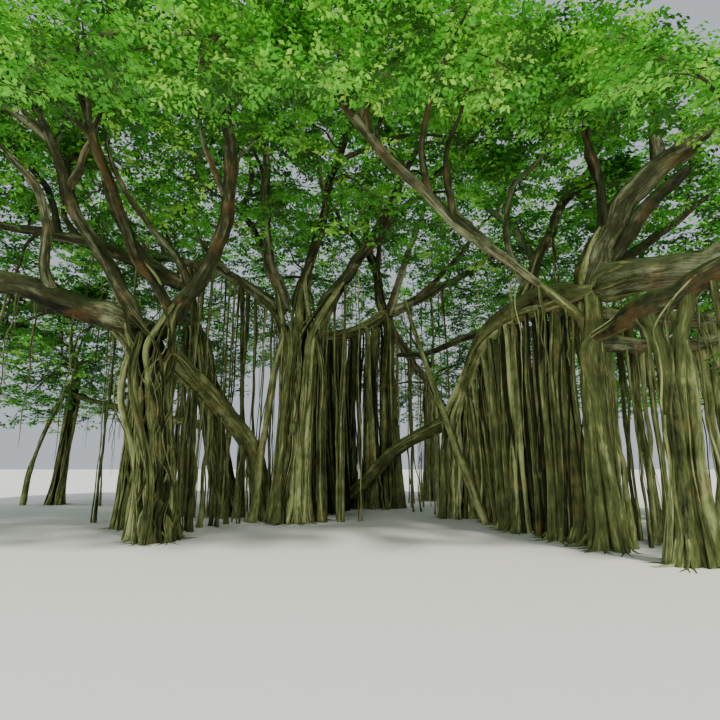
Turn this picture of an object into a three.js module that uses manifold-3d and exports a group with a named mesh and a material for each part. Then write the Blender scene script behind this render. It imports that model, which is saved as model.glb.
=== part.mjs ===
// A banyan: trunks and pillars built of fused hanging roots, joined by long boughs under one wide crown.
// Millimetres, +Z up, origin on the flat cut under the main trunk, ground at z = 0.
import * as THREE from "three";
import { mergeVertices } from "three/addons/utils/BufferGeometryUtils.js";
import Module from "manifold-3d";

const wasm = await Module();
wasm.setup();

// Driving dimensions of the crown: a dome over a rounded-oblong plan.
const CROWN_CENTRE = [500, 1700];
const CROWN_HALF = [17600, 14400];
const CROWN_CORNER = 2.6;
const CROWN_FOOT = 4600;
const CROWN_RISE = 13000;
const RIM_DROOP = 1300;

// The crown is lifted over the open front side: how much, by how far forward and by how far off its middle.
const LIFT_FORWARD = [0, -3000, -5500, -9000, -12700];
const LIFT = [0, 3000, 6500, 5200, 2900];
const LIFT_SIDE = [-13000, -9000, 9500, 11500];

// Driving dimensions of the limbs: how far feet run below the ground before they are cut, and the gap
// between a limb and what carries it.
const BURIED = 500;
const JOINT_GAP = 0.35;
const CLEAR_OF_LIMBS = 60;
const LIMB_STEPS = 10;
const CELL_MARGIN = 30;
const LOBE_UNEVEN = 0.1;
const CONVEX_SIDES = 7;

// Where a pier meets its rail, how far a trunk's crest rises over its head in waists, the heights at which a
// stray root bends, and how thick each kind of limb is along its length.
const PIER_SHARE = 0.97;
const CREST_RISE = 0.7;
const STRAY_BENDS = [0.75, 0.3];
const STRAY_SHAPE = [1, 0.9, 1.6];
const POST_SHAPE = [0.9, 1, 1.7];
const BOUGH_SHAPE = [1.35, 0.98, 0.86, 0.74, 0.6, 0];

// Driving dimensions of the foliage: each leaf stands for a spray.
const LEAF_LENGTH = 2700;
const LEAF_WIDTH = 1500;
const LEAF_THICK = 200;
const LEAF_SUNK = 50;
const LEAF_ROLL = 0.8;
const LEAF_SHARES = [1, 0.82, 0.66, 0.5];
const TWIGS = 6;
const TWIG_RADIUS = [95, 65];
const TWIG_REACH = 2000;
const TWIG_REACH_LEAST = 500;
const TWIG_REACH_STEP = 150;
const TWIG_PITCH = [-0.35, 0.75];
const SIDE_LEAF_TURN = 0.95;
const SIDE_LEAF_AT = 0.6;
const FORKS_FROM = 0.35;
const FORKS_SPAN = 0.6;
const STEM_END = 90;
const STEM_LENGTH = 950;
const STEM_WIDTH = 0.9;
const CENTRE_SHARE = 0.9;
const CROWNED_STEM = 0.4;
const FIRST_SEED = 101;
const GOLDEN_ANGLE = Math.PI * (3 - Math.sqrt(5));

const UP = new THREE.Vector3(0, 0, 1);

// Trunks: where each stands, where its head is, its waist radius and the fused roots round it.
// Flare, crest and reach are in waists, twist and side in turns.
const TRUNKS = {
  trunk_centre: {
    foot: [0, 0],
    head: [150, 0, 7100],
    waist: 690,
    roots: 9,
    flare: 1.55,
    twist: 0.08,
    crest: 1.15,
    strays: [
      { side: 0.56, reach: 1.75, thick: 120 },
      { side: 0.95, reach: 1.5, thick: 130 },
      { side: 0.7, reach: 1.55, thick: 100 },
    ],
    prongs: [
      { to: [-420, 0, 8050], radius: [480, 290] },
      { to: [830, 0, 7950], radius: [450, 270] },
    ],
  },
  trunk_left: {
    foot: [-2900, -4440],
    head: [-3640, -4440, 5500],
    waist: 480,
    roots: 8,
    flare: 1.45,
    twist: 0.2,
    crest: 1.55,
    strays: [
      { side: 0.5, reach: 1.6, thick: 95 },
      { side: 0.35, reach: 1.7, thick: 80 },
      { side: 0.72, reach: 1.35, thick: 90 },
    ],
  },
  trunk_left_rear: {
    foot: [-4950, -1900],
    head: [-5000, -1800, 6200],
    waist: 370,
    roots: 6,
    flare: 1.6,
    twist: 0.1,
    crest: 1.2,
    strays: [{ side: 0.4, reach: 1.9, thick: 80 }],
  },
  trunk_mid_left: {
    foot: [-2750, 2100],
    head: [-4450, 1900, 7200],
    waist: 430,
    roots: 6,
    flare: 2.1,
    twist: 0.05,
    crest: 1,
    strays: [{ side: 0.02, reach: 2.6, thick: 110 }],
    prongs: [{ to: [-5050, 1750, 10600], radius: [210, 110] }],
  },
  trunk_right: {
    foot: [6340, 1350],
    head: [6300, 1300, 4100],
    waist: 560,
    roots: 8,
    flare: 1.6,
    twist: 0.08,
    crest: 1.05,
    strays: [{ side: 0.6, reach: 1.7, thick: 110 }],
  },
  pillar_right: {
    foot: [9000, -7700],
    head: [9140, -7700, 5260],
    waist: 280,
    roots: 5,
    flare: 1.9,
    twist: 0.03,
    crest: 1.5,
    strays: [{ side: 0.93, reach: 1.55, thick: 110 }],
  },
  trunk_back: {
    foot: [6590, 10500],
    head: [6700, 10600, 6300],
    waist: 430,
    roots: 6,
    flare: 1.8,
    twist: 0.1,
    crest: 1.2,
  },
  trunk_far_left: {
    foot: [-13000, 7300],
    head: [-12700, 7300, 6100],
    waist: 280,
    roots: 5,
    flare: 2,
    twist: 0.1,
    crest: 1.3,
    strays: [{ side: 0.55, reach: 4.5, thick: 90 }],
  },
};

// Screens of hanging roots: a rail limb, posts that drop from it to a line on the ground, and a stout
// pier of that radius under the rail's far end.
const SCREENS = {
  root_wall_right: {
    rail: [[6350, 1150, 4200], [6850, -1300, 6300], [7600, -3300, 6800], [8300, -6000, 6450]],
    railRadius: [260, 300, 430],
    ground: [[7250, 300], [7500, -2600], [8350, -5600]],
    posts: 14,
    pier: 260,
    postRadius: [110, 250],
    spread: 330,
    seed: 61,
  },
  root_curtain_middle: {
    rail: [[500, 450, 6900], [1200, 3200, 7700], [2300, 4900, 8450], [3620, 5290, 9350]],
    railRadius: [230, 470],
    ground: [[1050, 2300], [1600, 4300], [2600, 5100], [3900, 5400]],
    posts: 10,
    pier: 370,
    postRadius: [100, 240],
    spread: 380,
    seed: 27,
  },
};

// Limbs that lean or arch on their own between trunks and ground, reaching the ground where "grounded".
const BRIDGES = {
  trunk_leaning: {
    line: [[-3350, -3900, 5150], [-2650, -2100, 4250], [-1500, 50, 2350], [-1100, 400, -300]],
    radius: [360, 340, 330, 430],
    grounded: true,
  },
  low_bough_left: {
    line: [[-3700, 2300, 3500], [-7500, 5200, 4300], [-12800, 7300, 5500]],
    radius: [210, 150, 110],
  },
  arch_limb: {
    line: [[2700, 4400, 1250], [3500, 4150, 2150], [4500, 3500, 2950], [5500, 2300, 3450], [6300, 1450, 3850]],
    radius: [320, 270, 270, 290, 330],
  },
  leaning_root: {
    line: [[4700, 5420, 10150], [5250, 2900, 6600], [5960, 200, 2700], [6800, -750, -300]],
    radius: [90, 105, 120, 170],
    grounded: true,
  },
};

// Boughs, thickest first: where each springs, where it passes, where its tip enters its foliage.
const BOUGHS = {
  bough_right_great: [[8350, -5950, 6500], [9500, -6400, 8820], [11700, -7300, 10650], 350, 130],
  bough_right_level_upper: [[8500, -6100, 6500], [11000, -7850, 6500], [13500, -7100, 7200], 400, 130],
  bough_right_level_lower: [[8250, -5950, 5050], [9450, -8050, 5720], [10900, -9100, 6300], 290, 120],
  bough_right_level_rear: [[7950, -4700, 6300], [12300, -4700, 6000], [15300, -2200, 7700], 250, 100],
  bough_left_low: [[-3950, -4500, 5900], [-7500, -5400, 6900], [-12700, -6300, 7600], 340, 110],
  bough_left_inner: [[-3550, -4400, 5500], [-1850, -4250, 8800], [-1250, -6600, 12500], 240, 80],
  bough_left_high: [[-3950, -4600, 6000], [-5350, -5100, 8300], [-6400, -6700, 11500], 200, 75],
  bough_left_cross: [[-2700, -4180, 7150], [-6450, -3600, 9000], [-11000, -2400, 10300], 180, 75],
  bough_left_front: [[-3150, -4300, 6300], [-4300, -5600, 8700], [-4100, -8300, 10400], 160, 70],
  bough_centre_left: [[-420, 0, 7900], [-1250, -150, 10300], [-1300, -1200, 14700], 230, 80],
  bough_centre_west: [[-500, 100, 7800], [-3700, 1200, 10050], [-8900, 3600, 12100], 210, 80],
  bough_centre_mid: [[-150, 0, 7900], [1000, -800, 11600], [2350, -4200, 14200], 190, 75],
  bough_centre_right: [[830, 0, 7850], [2650, -200, 10300], [4800, -900, 14600], 230, 80],
  bough_centre_back: [[100, 200, 7400], [-200, 5000, 11600], [-1300, 10600, 13000], 200, 80],
  bough_middle_up: [[3600, 5290, 9400], [3000, 5600, 12800], [2300, 5300, 16100], 230, 80],
  bough_middle_right: [[3800, 5300, 9400], [7100, 6000, 11300], [9800, 6600, 13300], 220, 80],
  bough_middle_back: [[3620, 5500, 9200], [6550, 10300, 6700], [7000, 13400, 8700], 220, 80],
  bough_right_long: [[8250, -5900, 5750], [4750, -6650, 8150], [1300, -8500, 10900], 150, 70],
  bough_wall_rise: [[7550, -3100, 6800], [9100, -3000, 10200], [10700, -1300, 12300], 190, 75],
  bough_wall_back: [[6560, 0, 5350], [10300, 2800, 7900], [14000, 4600, 9300], 200, 80],
  bough_mid_left: [[-4500, 1900, 7300], [-6100, 4800, 9100], [-8200, 9300, 10400], 190, 75],
  bough_left_rear: [[-3900, -4100, 5700], [-5100, -1650, 6680], [-12900, 2700, 8900], 210, 75],
};

// Foliage carried straight on a trunk's head, by the side it leans to.
const CROWNED_TRUNKS = {
  trunk_far_left: [-800, 300, 700],
};

// Seeded draws, the same on every run.
function seededDraw(seed) {
  let state = seed >>> 0;
  return () => {
    state = (state + 0x6d2b79f5) >>> 0;
    let t = state;
    t = Math.imul(t ^ (t >>> 15), t | 1);
    t ^= t + Math.imul(t ^ (t >>> 7), t | 61);
    return ((t ^ (t >>> 14)) >>> 0) / 4294967296;
  };
}

const point = ([x, y, z]) => new THREE.Vector3(x, y, z);

// The value at a share t of the way through an evenly spaced list.
function along(values, t) {
  const place = Math.min(Math.max(t, 0), 1) * (values.length - 1);
  const i = Math.min(Math.floor(place), values.length - 2);
  return THREE.MathUtils.lerp(values[i], values[i + 1], place - i);
}

function solidFrom(positions, triangles) {
  return new wasm.Manifold(
    new wasm.Mesh({
      numProp: 3,
      vertProperties: new Float32Array(positions),
      triVerts: new Uint32Array(triangles),
    }),
  );
}

function solidFromGeometry(geometry) {
  const bare = geometry.index ? geometry.toNonIndexed() : geometry.clone();
  bare.deleteAttribute("normal");
  bare.deleteAttribute("uv");
  const merged = mergeVertices(bare);
  return solidFrom(merged.attributes.position.array, merged.index.array);
}

// Rings of vertices, one after another, skinned and closed with a fan at each end.
function ringSolid(positions, sides, steps) {
  const triangles = [];
  for (let i = 0; i < steps; i++) {
    for (let j = 0; j < sides; j++) {
      const next = (j + 1) % sides;
      const a = i * sides + j;
      const b = i * sides + next;
      triangles.push(a, b, b + sides, a, b + sides, a + sides);
    }
  }
  const last = steps * sides;
  if (sides <= CONVEX_SIDES) {
    for (let j = 1; j < sides - 1; j++) triangles.push(0, j + 1, j, last, last + j, last + j + 1);
    return solidFrom(positions, triangles);
  }
  const middle = positions.length / 3;
  positions.push(...ringMiddle(positions, 0, sides), ...ringMiddle(positions, last, sides));
  for (let j = 0; j < sides; j++) {
    const next = (j + 1) % sides;
    triangles.push(middle, next, j, middle + 1, last + j, last + next);
  }
  return solidFrom(positions, triangles);
}

function ringMiddle(positions, first, sides) {
  const middle = [0, 0, 0];
  for (let j = 0; j < sides; j++) {
    for (let k = 0; k < 3; k++) middle[k] += positions[3 * (first + j) + k] / sides;
  }
  return middle;
}

// A closed limb of a few sides, swept along a curve, its radius read from an evenly spaced list.
function limb(curve, radii, { sides = 6, steps = 6, grow = 0 } = {}) {
  const frames = curve.computeFrenetFrames(steps, false);
  const positions = [];
  for (let i = 0; i <= steps; i++) {
    const pushed = i === 0 ? -grow : i === steps ? grow : 0;
    const centre = curve.getPointAt(i / steps).addScaledVector(frames.tangents[i], pushed);
    const radius = along(radii, i / steps) + grow;
    for (let j = 0; j < sides; j++) {
      const angle = (2 * Math.PI * j) / sides;
      const edge = centre
        .clone()
        .addScaledVector(frames.normals[i], radius * Math.cos(angle))
        .addScaledVector(frames.binormals[i], radius * Math.sin(angle));
      positions.push(edge.x, edge.y, edge.z);
    }
  }
  return ringSolid(positions, sides, steps);
}

const smooth = (points) => new THREE.CatmullRomCurve3(points.map(point), false, "centripetal");

// Everything below the ground is cut off flat.
function cutAtGround(solid) {
  const depth = 4 * BURIED;
  const below = new THREE.BoxGeometry(60000, 60000, depth).translate(0, 0, -depth / 2);
  return solid.subtract(solidFromGeometry(below));
}

const largest = (solid) => solid.decompose().sort((a, b) => b.volume() - a.volume())[0];

// A trunk of fused roots: one lobe for each root, standing proud of the grooves, deepest at the feet.
function lobedTrunk({ foot, head, waist, roots, flare, twist, crest }, grow) {
  const base = new THREE.Vector3(foot[0], foot[1], -BURIED);
  const axis = new THREE.LineCurve3(base, point(head));
  const rings = [
    { share: 0, lobe: flare, groove: 0.95 },
    { share: 0.1, lobe: 0.45 + 0.5 * flare, groove: 0.8 },
    { share: 0.26, lobe: 1.06, groove: 0.72 },
    { share: 0.55, lobe: 0.95, groove: 0.7 },
    { share: 0.82, lobe: 1, groove: 0.76 },
    { share: 1, lobe: crest, groove: crest * 0.86 },
    { share: 1 + (CREST_RISE * waist) / head[2], lobe: crest * 0.62, groove: crest * 0.56 },
  ];
  const sides = 2 * roots;
  const positions = [];
  for (const [i, { share, lobe, groove }] of rings.entries()) {
    const at = axis.getPoint(share);
    if (i === rings.length - 1) at.z += grow;
    for (let j = 0; j < sides; j++) {
      const uneven = 1 + LOBE_UNEVEN * Math.sin(3.7 * j + 1);
      const radius = (j % 2 ? groove : lobe * uneven) * waist + grow;
      const angle = 2 * Math.PI * (j / sides + twist * share);
      positions.push(at.x + radius * Math.cos(angle), at.y + radius * Math.sin(angle), at.z);
    }
  }
  return ringSolid(positions, sides, rings.length - 1);
}

// A trunk with its stray roots, which stand free of it between head and ground, and its prongs.
function rootTrunk(spec, grow) {
  const { foot, head, waist, flare, crest, strays = [], prongs = [] } = spec;
  const top = point(head);
  const pieces = [lobedTrunk(spec, grow)];
  for (const { side, reach, thick } of strays) {
    const angle = 2 * Math.PI * side;
    const line = [
      [head, crest * 0.7, head[2]],
      [head, (reach + crest) / 2, head[2] * STRAY_BENDS[0]],
      [foot, reach, head[2] * STRAY_BENDS[1]],
      [foot, reach * 1.08 + flare * 0.1, -BURIED],
    ].map(([at, out, z]) => [
      at[0] + out * waist * Math.cos(angle),
      at[1] + out * waist * Math.sin(angle),
      z,
    ]);
    const radii = STRAY_SHAPE.map((part) => part * thick);
    pieces.push(limb(smooth(line), radii, { sides: 4, steps: 4, grow }));
  }
  for (const { to, radius } of prongs) {
    const from = top.clone().addScaledVector(UP, -waist);
    pieces.push(limb(new THREE.LineCurve3(from, point(to)), radius, { sides: 7, steps: 1, grow }));
  }
  return largest(cutAtGround(wasm.Manifold.union(pieces)));
}

// A screen of roots: posts sunk in their rail, spread a little either side of the line they root on.
function rootScreen({ rail, railRadius, ground, posts, pier, postRadius, spread, seed }, grow) {
  const draw = seededDraw(seed);
  const railLine = smooth(rail);
  const groundLine = smooth(ground.map(([x, y]) => [x, y, -BURIED]));
  const pieces = [limb(railLine, railRadius, { sides: 7, steps: 5, grow })];
  for (let i = 0; i <= posts; i++) {
    const last = i === posts;
    const share = last ? 1 : (i + 0.2 + 0.6 * draw()) / (posts + 1);
    const top = railLine.getPointAt(last ? PIER_SHARE : share);
    const foot = groundLine.getPointAt(share);
    foot.x += last ? 0 : (draw() - 0.5) * 2 * spread;
    foot.y += last ? 0 : (draw() - 0.5) * spread;
    const radius = last ? pier : THREE.MathUtils.lerp(...postRadius, draw() ** 1.5);
    const radii = POST_SHAPE.map((part) => part * radius);
    pieces.push(limb(new THREE.LineCurve3(top, foot), radii, { sides: 5, steps: 2, grow }));
  }
  return largest(cutAtGround(wasm.Manifold.union(pieces)));
}

function bridge({ line, radius, grounded }, grow) {
  const solid = limb(smooth(line), radius, { sides: 6, steps: 6, grow });
  return grounded ? cutAtGround(solid) : solid;
}

const boughCurve = ([from, by, to]) => smooth([from, by, to]);

// A bough tapers from its collar to its tip.
function bough(spec, grow) {
  const [root, tip] = spec.slice(3);
  const radii = BOUGH_SHAPE.map((part) => tip + (root - tip) * part);
  return limb(boughCurve(spec), radii, { sides: 6, steps: 6, grow });
}

// The limbs in building order: each is cut clear of those before it.
const limbs = new Map();
const cutters = [];
function addLimb(name, make) {
  let solid = make(0);
  const own = solid.boundingBox();
  for (const other of cutters) {
    const near = other.boundingBox();
    const apart = [0, 1, 2].some((k) => near.min[k] > own.max[k] || near.max[k] < own.min[k]);
    if (!apart) solid = solid.subtract(other);
  }
  limbs.set(name, largest(solid));
  cutters.push(make(JOINT_GAP));
}

for (const [name, spec] of Object.entries(TRUNKS)) addLimb(name, (grow) => rootTrunk(spec, grow));
for (const [name, spec] of Object.entries(SCREENS)) addLimb(name, (grow) => rootScreen(spec, grow));
for (const [name, spec] of Object.entries(BRIDGES)) addLimb(name, (grow) => bridge(spec, grow));
for (const [name, spec] of Object.entries(BOUGHS)) addLimb(name, (grow) => bough(spec, grow));

// The lines and radii of all limbs, as short straight pieces, for keeping foliage off them.
const limbPieces = [];
function noteLimb(curve, radii) {
  for (let i = 0; i < LIMB_STEPS; i++) {
    limbPieces.push({
      from: curve.getPointAt(i / LIMB_STEPS),
      to: curve.getPointAt((i + 1) / LIMB_STEPS),
      radius: along(radii, (i + 0.5) / LIMB_STEPS),
    });
  }
}
for (const { foot, head, waist, crest } of Object.values(TRUNKS)) {
  const top = point(head).addScaledVector(UP, waist * 0.5);
  noteLimb(new THREE.LineCurve3(new THREE.Vector3(foot[0], foot[1], 0), top), [waist * 2, waist * crest]);
}
for (const { head, waist, prongs = [] } of Object.values(TRUNKS)) {
  const from = point(head).addScaledVector(UP, -waist);
  for (const { to, radius } of prongs) noteLimb(new THREE.LineCurve3(from, point(to)), radius);
}
for (const { rail, railRadius } of Object.values(SCREENS)) noteLimb(smooth(rail), railRadius);
for (const { line, radius } of Object.values(BRIDGES)) noteLimb(smooth(line), radius);
for (const spec of Object.values(BOUGHS)) noteLimb(boughCurve(spec), [spec[3] * BOUGH_SHAPE[0], spec[4]]);

// How far a point lies outside the dome, as a share: 0 at its middle, 1 on its plan outline.
function planShare(x, y) {
  const u = Math.abs(x - CROWN_CENTRE[0]) / CROWN_HALF[0];
  const v = Math.abs(y - CROWN_CENTRE[1]) / CROWN_HALF[1];
  return u ** CROWN_CORNER + v ** CROWN_CORNER;
}

// How much higher the crown's underside is than its foot, at a place over the open front.
function frontLift(x, y) {
  const { clamp, inverseLerp, lerp } = THREE.MathUtils;
  const rise = clamp(inverseLerp(LIFT_SIDE[0], LIFT_SIDE[1], x), 0, 1);
  const fall = clamp(inverseLerp(LIFT_SIDE[3], LIFT_SIDE[2], x), 0, 1);
  const i = LIFT_FORWARD.findIndex((forward) => y > forward);
  if (i === 0) return 0;
  if (i < 0) return LIFT.at(-1) * rise * fall;
  const t = inverseLerp(LIFT_FORWARD[i - 1], LIFT_FORWARD[i], y);
  return lerp(LIFT[i - 1], LIFT[i], t) * rise * fall;
}

function insideCrown(p) {
  const share = planShare(p.x, p.y);
  if (share > 1) return false;
  const top = CROWN_FOOT + CROWN_RISE * Math.sqrt(1 - share);
  return p.z < top && p.z > CROWN_FOOT - RIM_DROOP * share + frontLift(p.x, p.y);
}

// Each mass's stem goes on from its bough's tip, level cut to level cut.
const masses = [];
for (const [name, spec] of Object.entries(BOUGHS)) {
  const curve = boughCurve(spec);
  masses.push({
    name: name.replace("bough", "foliage"),
    tip: curve.getPointAt(1),
    way: curve.getTangentAt(1),
    width: spec[4],
  });
}
for (const [name, lean] of Object.entries(CROWNED_TRUNKS)) {
  const { foot, head, waist, crest } = TRUNKS[name];
  const axis = new THREE.LineCurve3(new THREE.Vector3(foot[0], foot[1], -BURIED), point(head));
  masses.push({
    name: name.replace("trunk", "foliage"),
    tip: axis.getPoint(1 + (CREST_RISE * waist) / head[2]),
    way: UP.clone(),
    lean: point(lean),
    width: crest * waist * CROWNED_STEM,
  });
}
for (const mass of masses) {
  mass.centre = mass.tip.clone().addScaledVector(mass.way, STEM_LENGTH * CENTRE_SHARE);
  if (mass.lean) mass.centre.add(mass.lean);
}

function inOwnCell(p, mass) {
  const own = p.distanceTo(mass.centre);
  return masses.every((other) => other === mass || p.distanceTo(other.centre) - own > 2 * CELL_MARGIN);
}

// The shortest way between two straight pieces.
function spacing(a, b, c, d) {
  const u = b.clone().sub(a);
  const v = d.clone().sub(c);
  const w = a.clone().sub(c);
  const uu = u.dot(u);
  const uv = u.dot(v);
  const vv = v.dot(v);
  const uw = u.dot(w);
  const vw = v.dot(w);
  const denominator = uu * vv - uv * uv;
  const clamp = THREE.MathUtils.clamp;
  let s = denominator > 1 ? clamp((uv * vw - vv * uw) / denominator, 0, 1) : 0;
  const t = clamp((uv * s + vw) / vv, 0, 1);
  s = clamp((uv * t - uw) / uu, 0, 1);
  return w.addScaledVector(u, s).addScaledVector(v, -t).length();
}

const clearOfLimbs = (from, to, radius) =>
  limbPieces.every(
    (piece) => spacing(from, to, piece.from, piece.to) > radius + piece.radius + CLEAR_OF_LIMBS,
  );

// A leaf: a flat eight-faced blade from its sunk root to its tip, rolled off the level by an angle.
function leaf(root, way, length, roll) {
  const flat = UP.clone().addScaledVector(way, -UP.dot(way)).normalize().applyAxisAngle(way, roll);
  const across = new THREE.Vector3().crossVectors(flat, way);
  const middle = root.clone().addScaledVector(way, length / 2 - LEAF_SUNK);
  const share = length / LEAF_LENGTH;
  const turn = new THREE.Matrix4().makeBasis(
    way.clone().multiplyScalar(length / 2),
    across.clone().multiplyScalar((LEAF_WIDTH * share) / 2),
    flat.clone().multiplyScalar((LEAF_THICK * share) / 2),
  );
  return {
    solid: () => solidFromGeometry(new THREE.OctahedronGeometry(1).applyMatrix4(turn.setPosition(middle))),
    corners: [
      middle.clone().addScaledVector(way, length / 2),
      middle.clone().addScaledVector(across, (LEAF_WIDTH * share) / 2),
      middle.clone().addScaledVector(across, (-LEAF_WIDTH * share) / 2),
    ],
    root,
  };
}

// A mass: a stem, twigs off it by the golden angle, and a leaf at each twig's end and at its side.
function foliage(mass, seed) {
  const draw = seededDraw(seed);
  const allowed = (p) => insideCrown(p) && inOwnCell(p, mass);
  const start = mass.tip.clone().addScaledVector(mass.way, JOINT_GAP);
  const stemEnd = start.clone().addScaledVector(mass.way, STEM_LENGTH);
  const stemShape = [mass.width * STEM_WIDTH, STEM_END];
  const pieces = [limb(new THREE.LineCurve3(start, stemEnd), stemShape, { sides: 5, steps: 1 })];
  const blades = [];
  const clearOfBlades = (from, to, radius) =>
    blades.every((blade) => spacing(from, to, blade.from, blade.to) > radius);
  const grow = (root, way) => {
    const roll = (draw() - 0.5) * 2 * LEAF_ROLL;
    for (const share of LEAF_SHARES) {
      const blade = leaf(root, way, LEAF_LENGTH * share, roll);
      const from = root.clone().addScaledVector(way, LEAF_LENGTH * share * 0.25);
      const to = blade.corners[0];
      const half = LEAF_WIDTH * share * 0.5;
      if (!blade.corners.every(allowed)) continue;
      if (!clearOfLimbs(from, to, half * 0.8)) continue;
      if (!clearOfBlades(from, to, half * 1.1)) continue;
      blades.push({ from, to });
      return blade.solid();
    }
    return null;
  };
  for (let k = 0; k < TWIGS; k++) {
    const turn = GOLDEN_ANGLE * k + draw();
    const pitch = THREE.MathUtils.lerp(...TWIG_PITCH, k / (TWIGS - 1));
    const way = new THREE.Vector3(Math.cos(turn), Math.sin(turn), Math.tan(pitch)).normalize();
    const fork = start.clone().lerp(stemEnd, FORKS_FROM + FORKS_SPAN * (k / TWIGS));
    let reach = TWIG_REACH * (0.7 + 0.4 * draw());
    let end = fork.clone().addScaledVector(way, reach);
    const inner = fork.clone().addScaledVector(way, TWIG_REACH_LEAST * 0.8);
    while (reach > TWIG_REACH_LEAST && !(allowed(end) && clearOfLimbs(inner, end, TWIG_RADIUS[0]))) {
      reach -= TWIG_REACH_STEP;
      end = fork.clone().addScaledVector(way, reach);
    }
    if (reach <= TWIG_REACH_LEAST) continue;
    const carried = [];
    const tipWay = way.clone().setZ(way.z - 0.1 - 0.2 * draw()).normalize();
    carried.push(grow(end, tipWay));
    const side = (k % 2 ? 1 : -1) * SIDE_LEAF_TURN;
    const sideWay = way.clone().applyAxisAngle(UP, side);
    sideWay.setZ(sideWay.z - 0.1 - 0.3 * draw()).normalize();
    carried.push(grow(fork.clone().lerp(end, SIDE_LEAF_AT), sideWay));
    const grown = carried.filter(Boolean);
    if (!grown.length) continue;
    pieces.push(limb(new THREE.LineCurve3(fork, end), TWIG_RADIUS, { sides: 3, steps: 1 }), ...grown);
  }
  return largest(wasm.Manifold.union(pieces));
}

// A mesh whose vertices are the solid's own.
function meshOf(name, solid, material) {
  const { vertProperties, triVerts } = solid.getMesh();
  const geometry = new THREE.BufferGeometry();
  geometry.setAttribute("position", new THREE.BufferAttribute(new Float32Array(vertProperties), 3));
  geometry.setIndex(new THREE.BufferAttribute(new Uint32Array(triVerts), 1));
  geometry.computeVertexNormals();
  const mesh = new THREE.Mesh(geometry, material);
  mesh.name = name;
  return mesh;
}

const bark = new THREE.MeshStandardMaterial({ color: 0x8a7f5c, roughness: 0.9, metalness: 0 });
const greyBark = new THREE.MeshStandardMaterial({ color: 0x7c7a63, roughness: 0.9, metalness: 0 });
const leafGreen = new THREE.MeshStandardMaterial({ color: 0x4f8a2b, roughness: 0.6, metalness: 0 });

const banyan = new THREE.Group();
for (const [name, solid] of limbs) {
  banyan.add(meshOf(name, solid, name.startsWith("bough") ? greyBark : bark));
}
masses.forEach((mass, i) => {
  banyan.add(meshOf(mass.name, foliage(mass, FIRST_SEED + i), leafGreen));
});

export default banyan;
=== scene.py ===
"""A banyan, in metres with +Z up and the ground at z = 0, in the order that it grew: boughs first, then the
trunks and screens of fused hanging roots that they dropped, then branches, twigs and leaves."""
import math
import bpy
import numpy as np
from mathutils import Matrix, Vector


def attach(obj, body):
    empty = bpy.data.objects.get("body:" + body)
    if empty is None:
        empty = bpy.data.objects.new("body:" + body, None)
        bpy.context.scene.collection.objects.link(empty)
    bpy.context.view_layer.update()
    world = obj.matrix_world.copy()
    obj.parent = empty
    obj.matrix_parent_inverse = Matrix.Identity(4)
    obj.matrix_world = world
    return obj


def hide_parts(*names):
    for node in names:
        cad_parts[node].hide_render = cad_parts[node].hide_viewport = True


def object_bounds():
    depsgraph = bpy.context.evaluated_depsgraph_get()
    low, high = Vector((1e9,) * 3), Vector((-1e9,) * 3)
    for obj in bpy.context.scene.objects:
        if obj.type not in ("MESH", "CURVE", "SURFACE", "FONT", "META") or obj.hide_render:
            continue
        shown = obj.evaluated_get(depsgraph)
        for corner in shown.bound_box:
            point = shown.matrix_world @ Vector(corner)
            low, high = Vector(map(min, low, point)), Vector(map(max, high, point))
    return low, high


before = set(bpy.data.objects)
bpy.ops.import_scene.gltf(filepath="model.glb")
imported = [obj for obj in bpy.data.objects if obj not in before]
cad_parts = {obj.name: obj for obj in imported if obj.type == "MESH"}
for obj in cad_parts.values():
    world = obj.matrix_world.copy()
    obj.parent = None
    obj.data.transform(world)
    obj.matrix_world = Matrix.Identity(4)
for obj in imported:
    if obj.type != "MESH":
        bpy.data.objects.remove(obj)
solid_box = [list(corner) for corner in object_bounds()]

# Floor, light and camera: a plain pale floor and backdrop, soft light from above and from the open front
# side, and the view from just outside the crown, 1.95 m up, looking in and a little upwards.
FLOOR_EDGE = 200
FLOOR_DROP = -0.004
BACKDROP = (0.84, 0.92, 1.0)
BACKDROP_STRENGTH = 0.62
# Each lamp: where it shines from as azimuth (0 is from -Y, 90 from +X) and height in degrees, its strength,
# its softness in degrees and its colour.
LAMPS = {
    "key": (35, 52, 4.6, 5, (1.0, 0.96, 0.84)),
    "front_fill": (-20, 14, 1.4, 30, (1.0, 1.0, 0.94)),
    "side_fill": (-95, 22, 0.8, 30, (0.92, 0.97, 1.0)),
}
SENSOR = 36
LENS = 24
EYE = (2.42, -17.94, 1.95)
TILT_UP = 12.339


def plain(name, colour, roughness, gloss):
    """A material of one colour."""
    made = bpy.data.materials.new(name)
    made.use_nodes = True
    shader = made.node_tree.nodes["Principled BSDF"]
    shader.inputs["Base Color"].default_value = (*colour, 1)
    shader.inputs["Roughness"].default_value = roughness
    shader.inputs["Specular IOR Level"].default_value = gloss
    return made


floor_mesh = bpy.data.meshes.new("floor")
corners = [(x * FLOOR_EDGE, y * FLOOR_EDGE, 0) for x, y in ((-1, -1), (1, -1), (1, 1), (-1, 1))]
floor_mesh.from_pydata(corners, [], [(0, 1, 2, 3)])
floor_mesh.materials.append(plain("pale_floor", (0.66, 0.65, 0.63), 0.9, 0.5))
floor = bpy.data.objects.new("floor", floor_mesh)
floor.location.z = FLOOR_DROP
bpy.context.collection.objects.link(floor)

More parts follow.
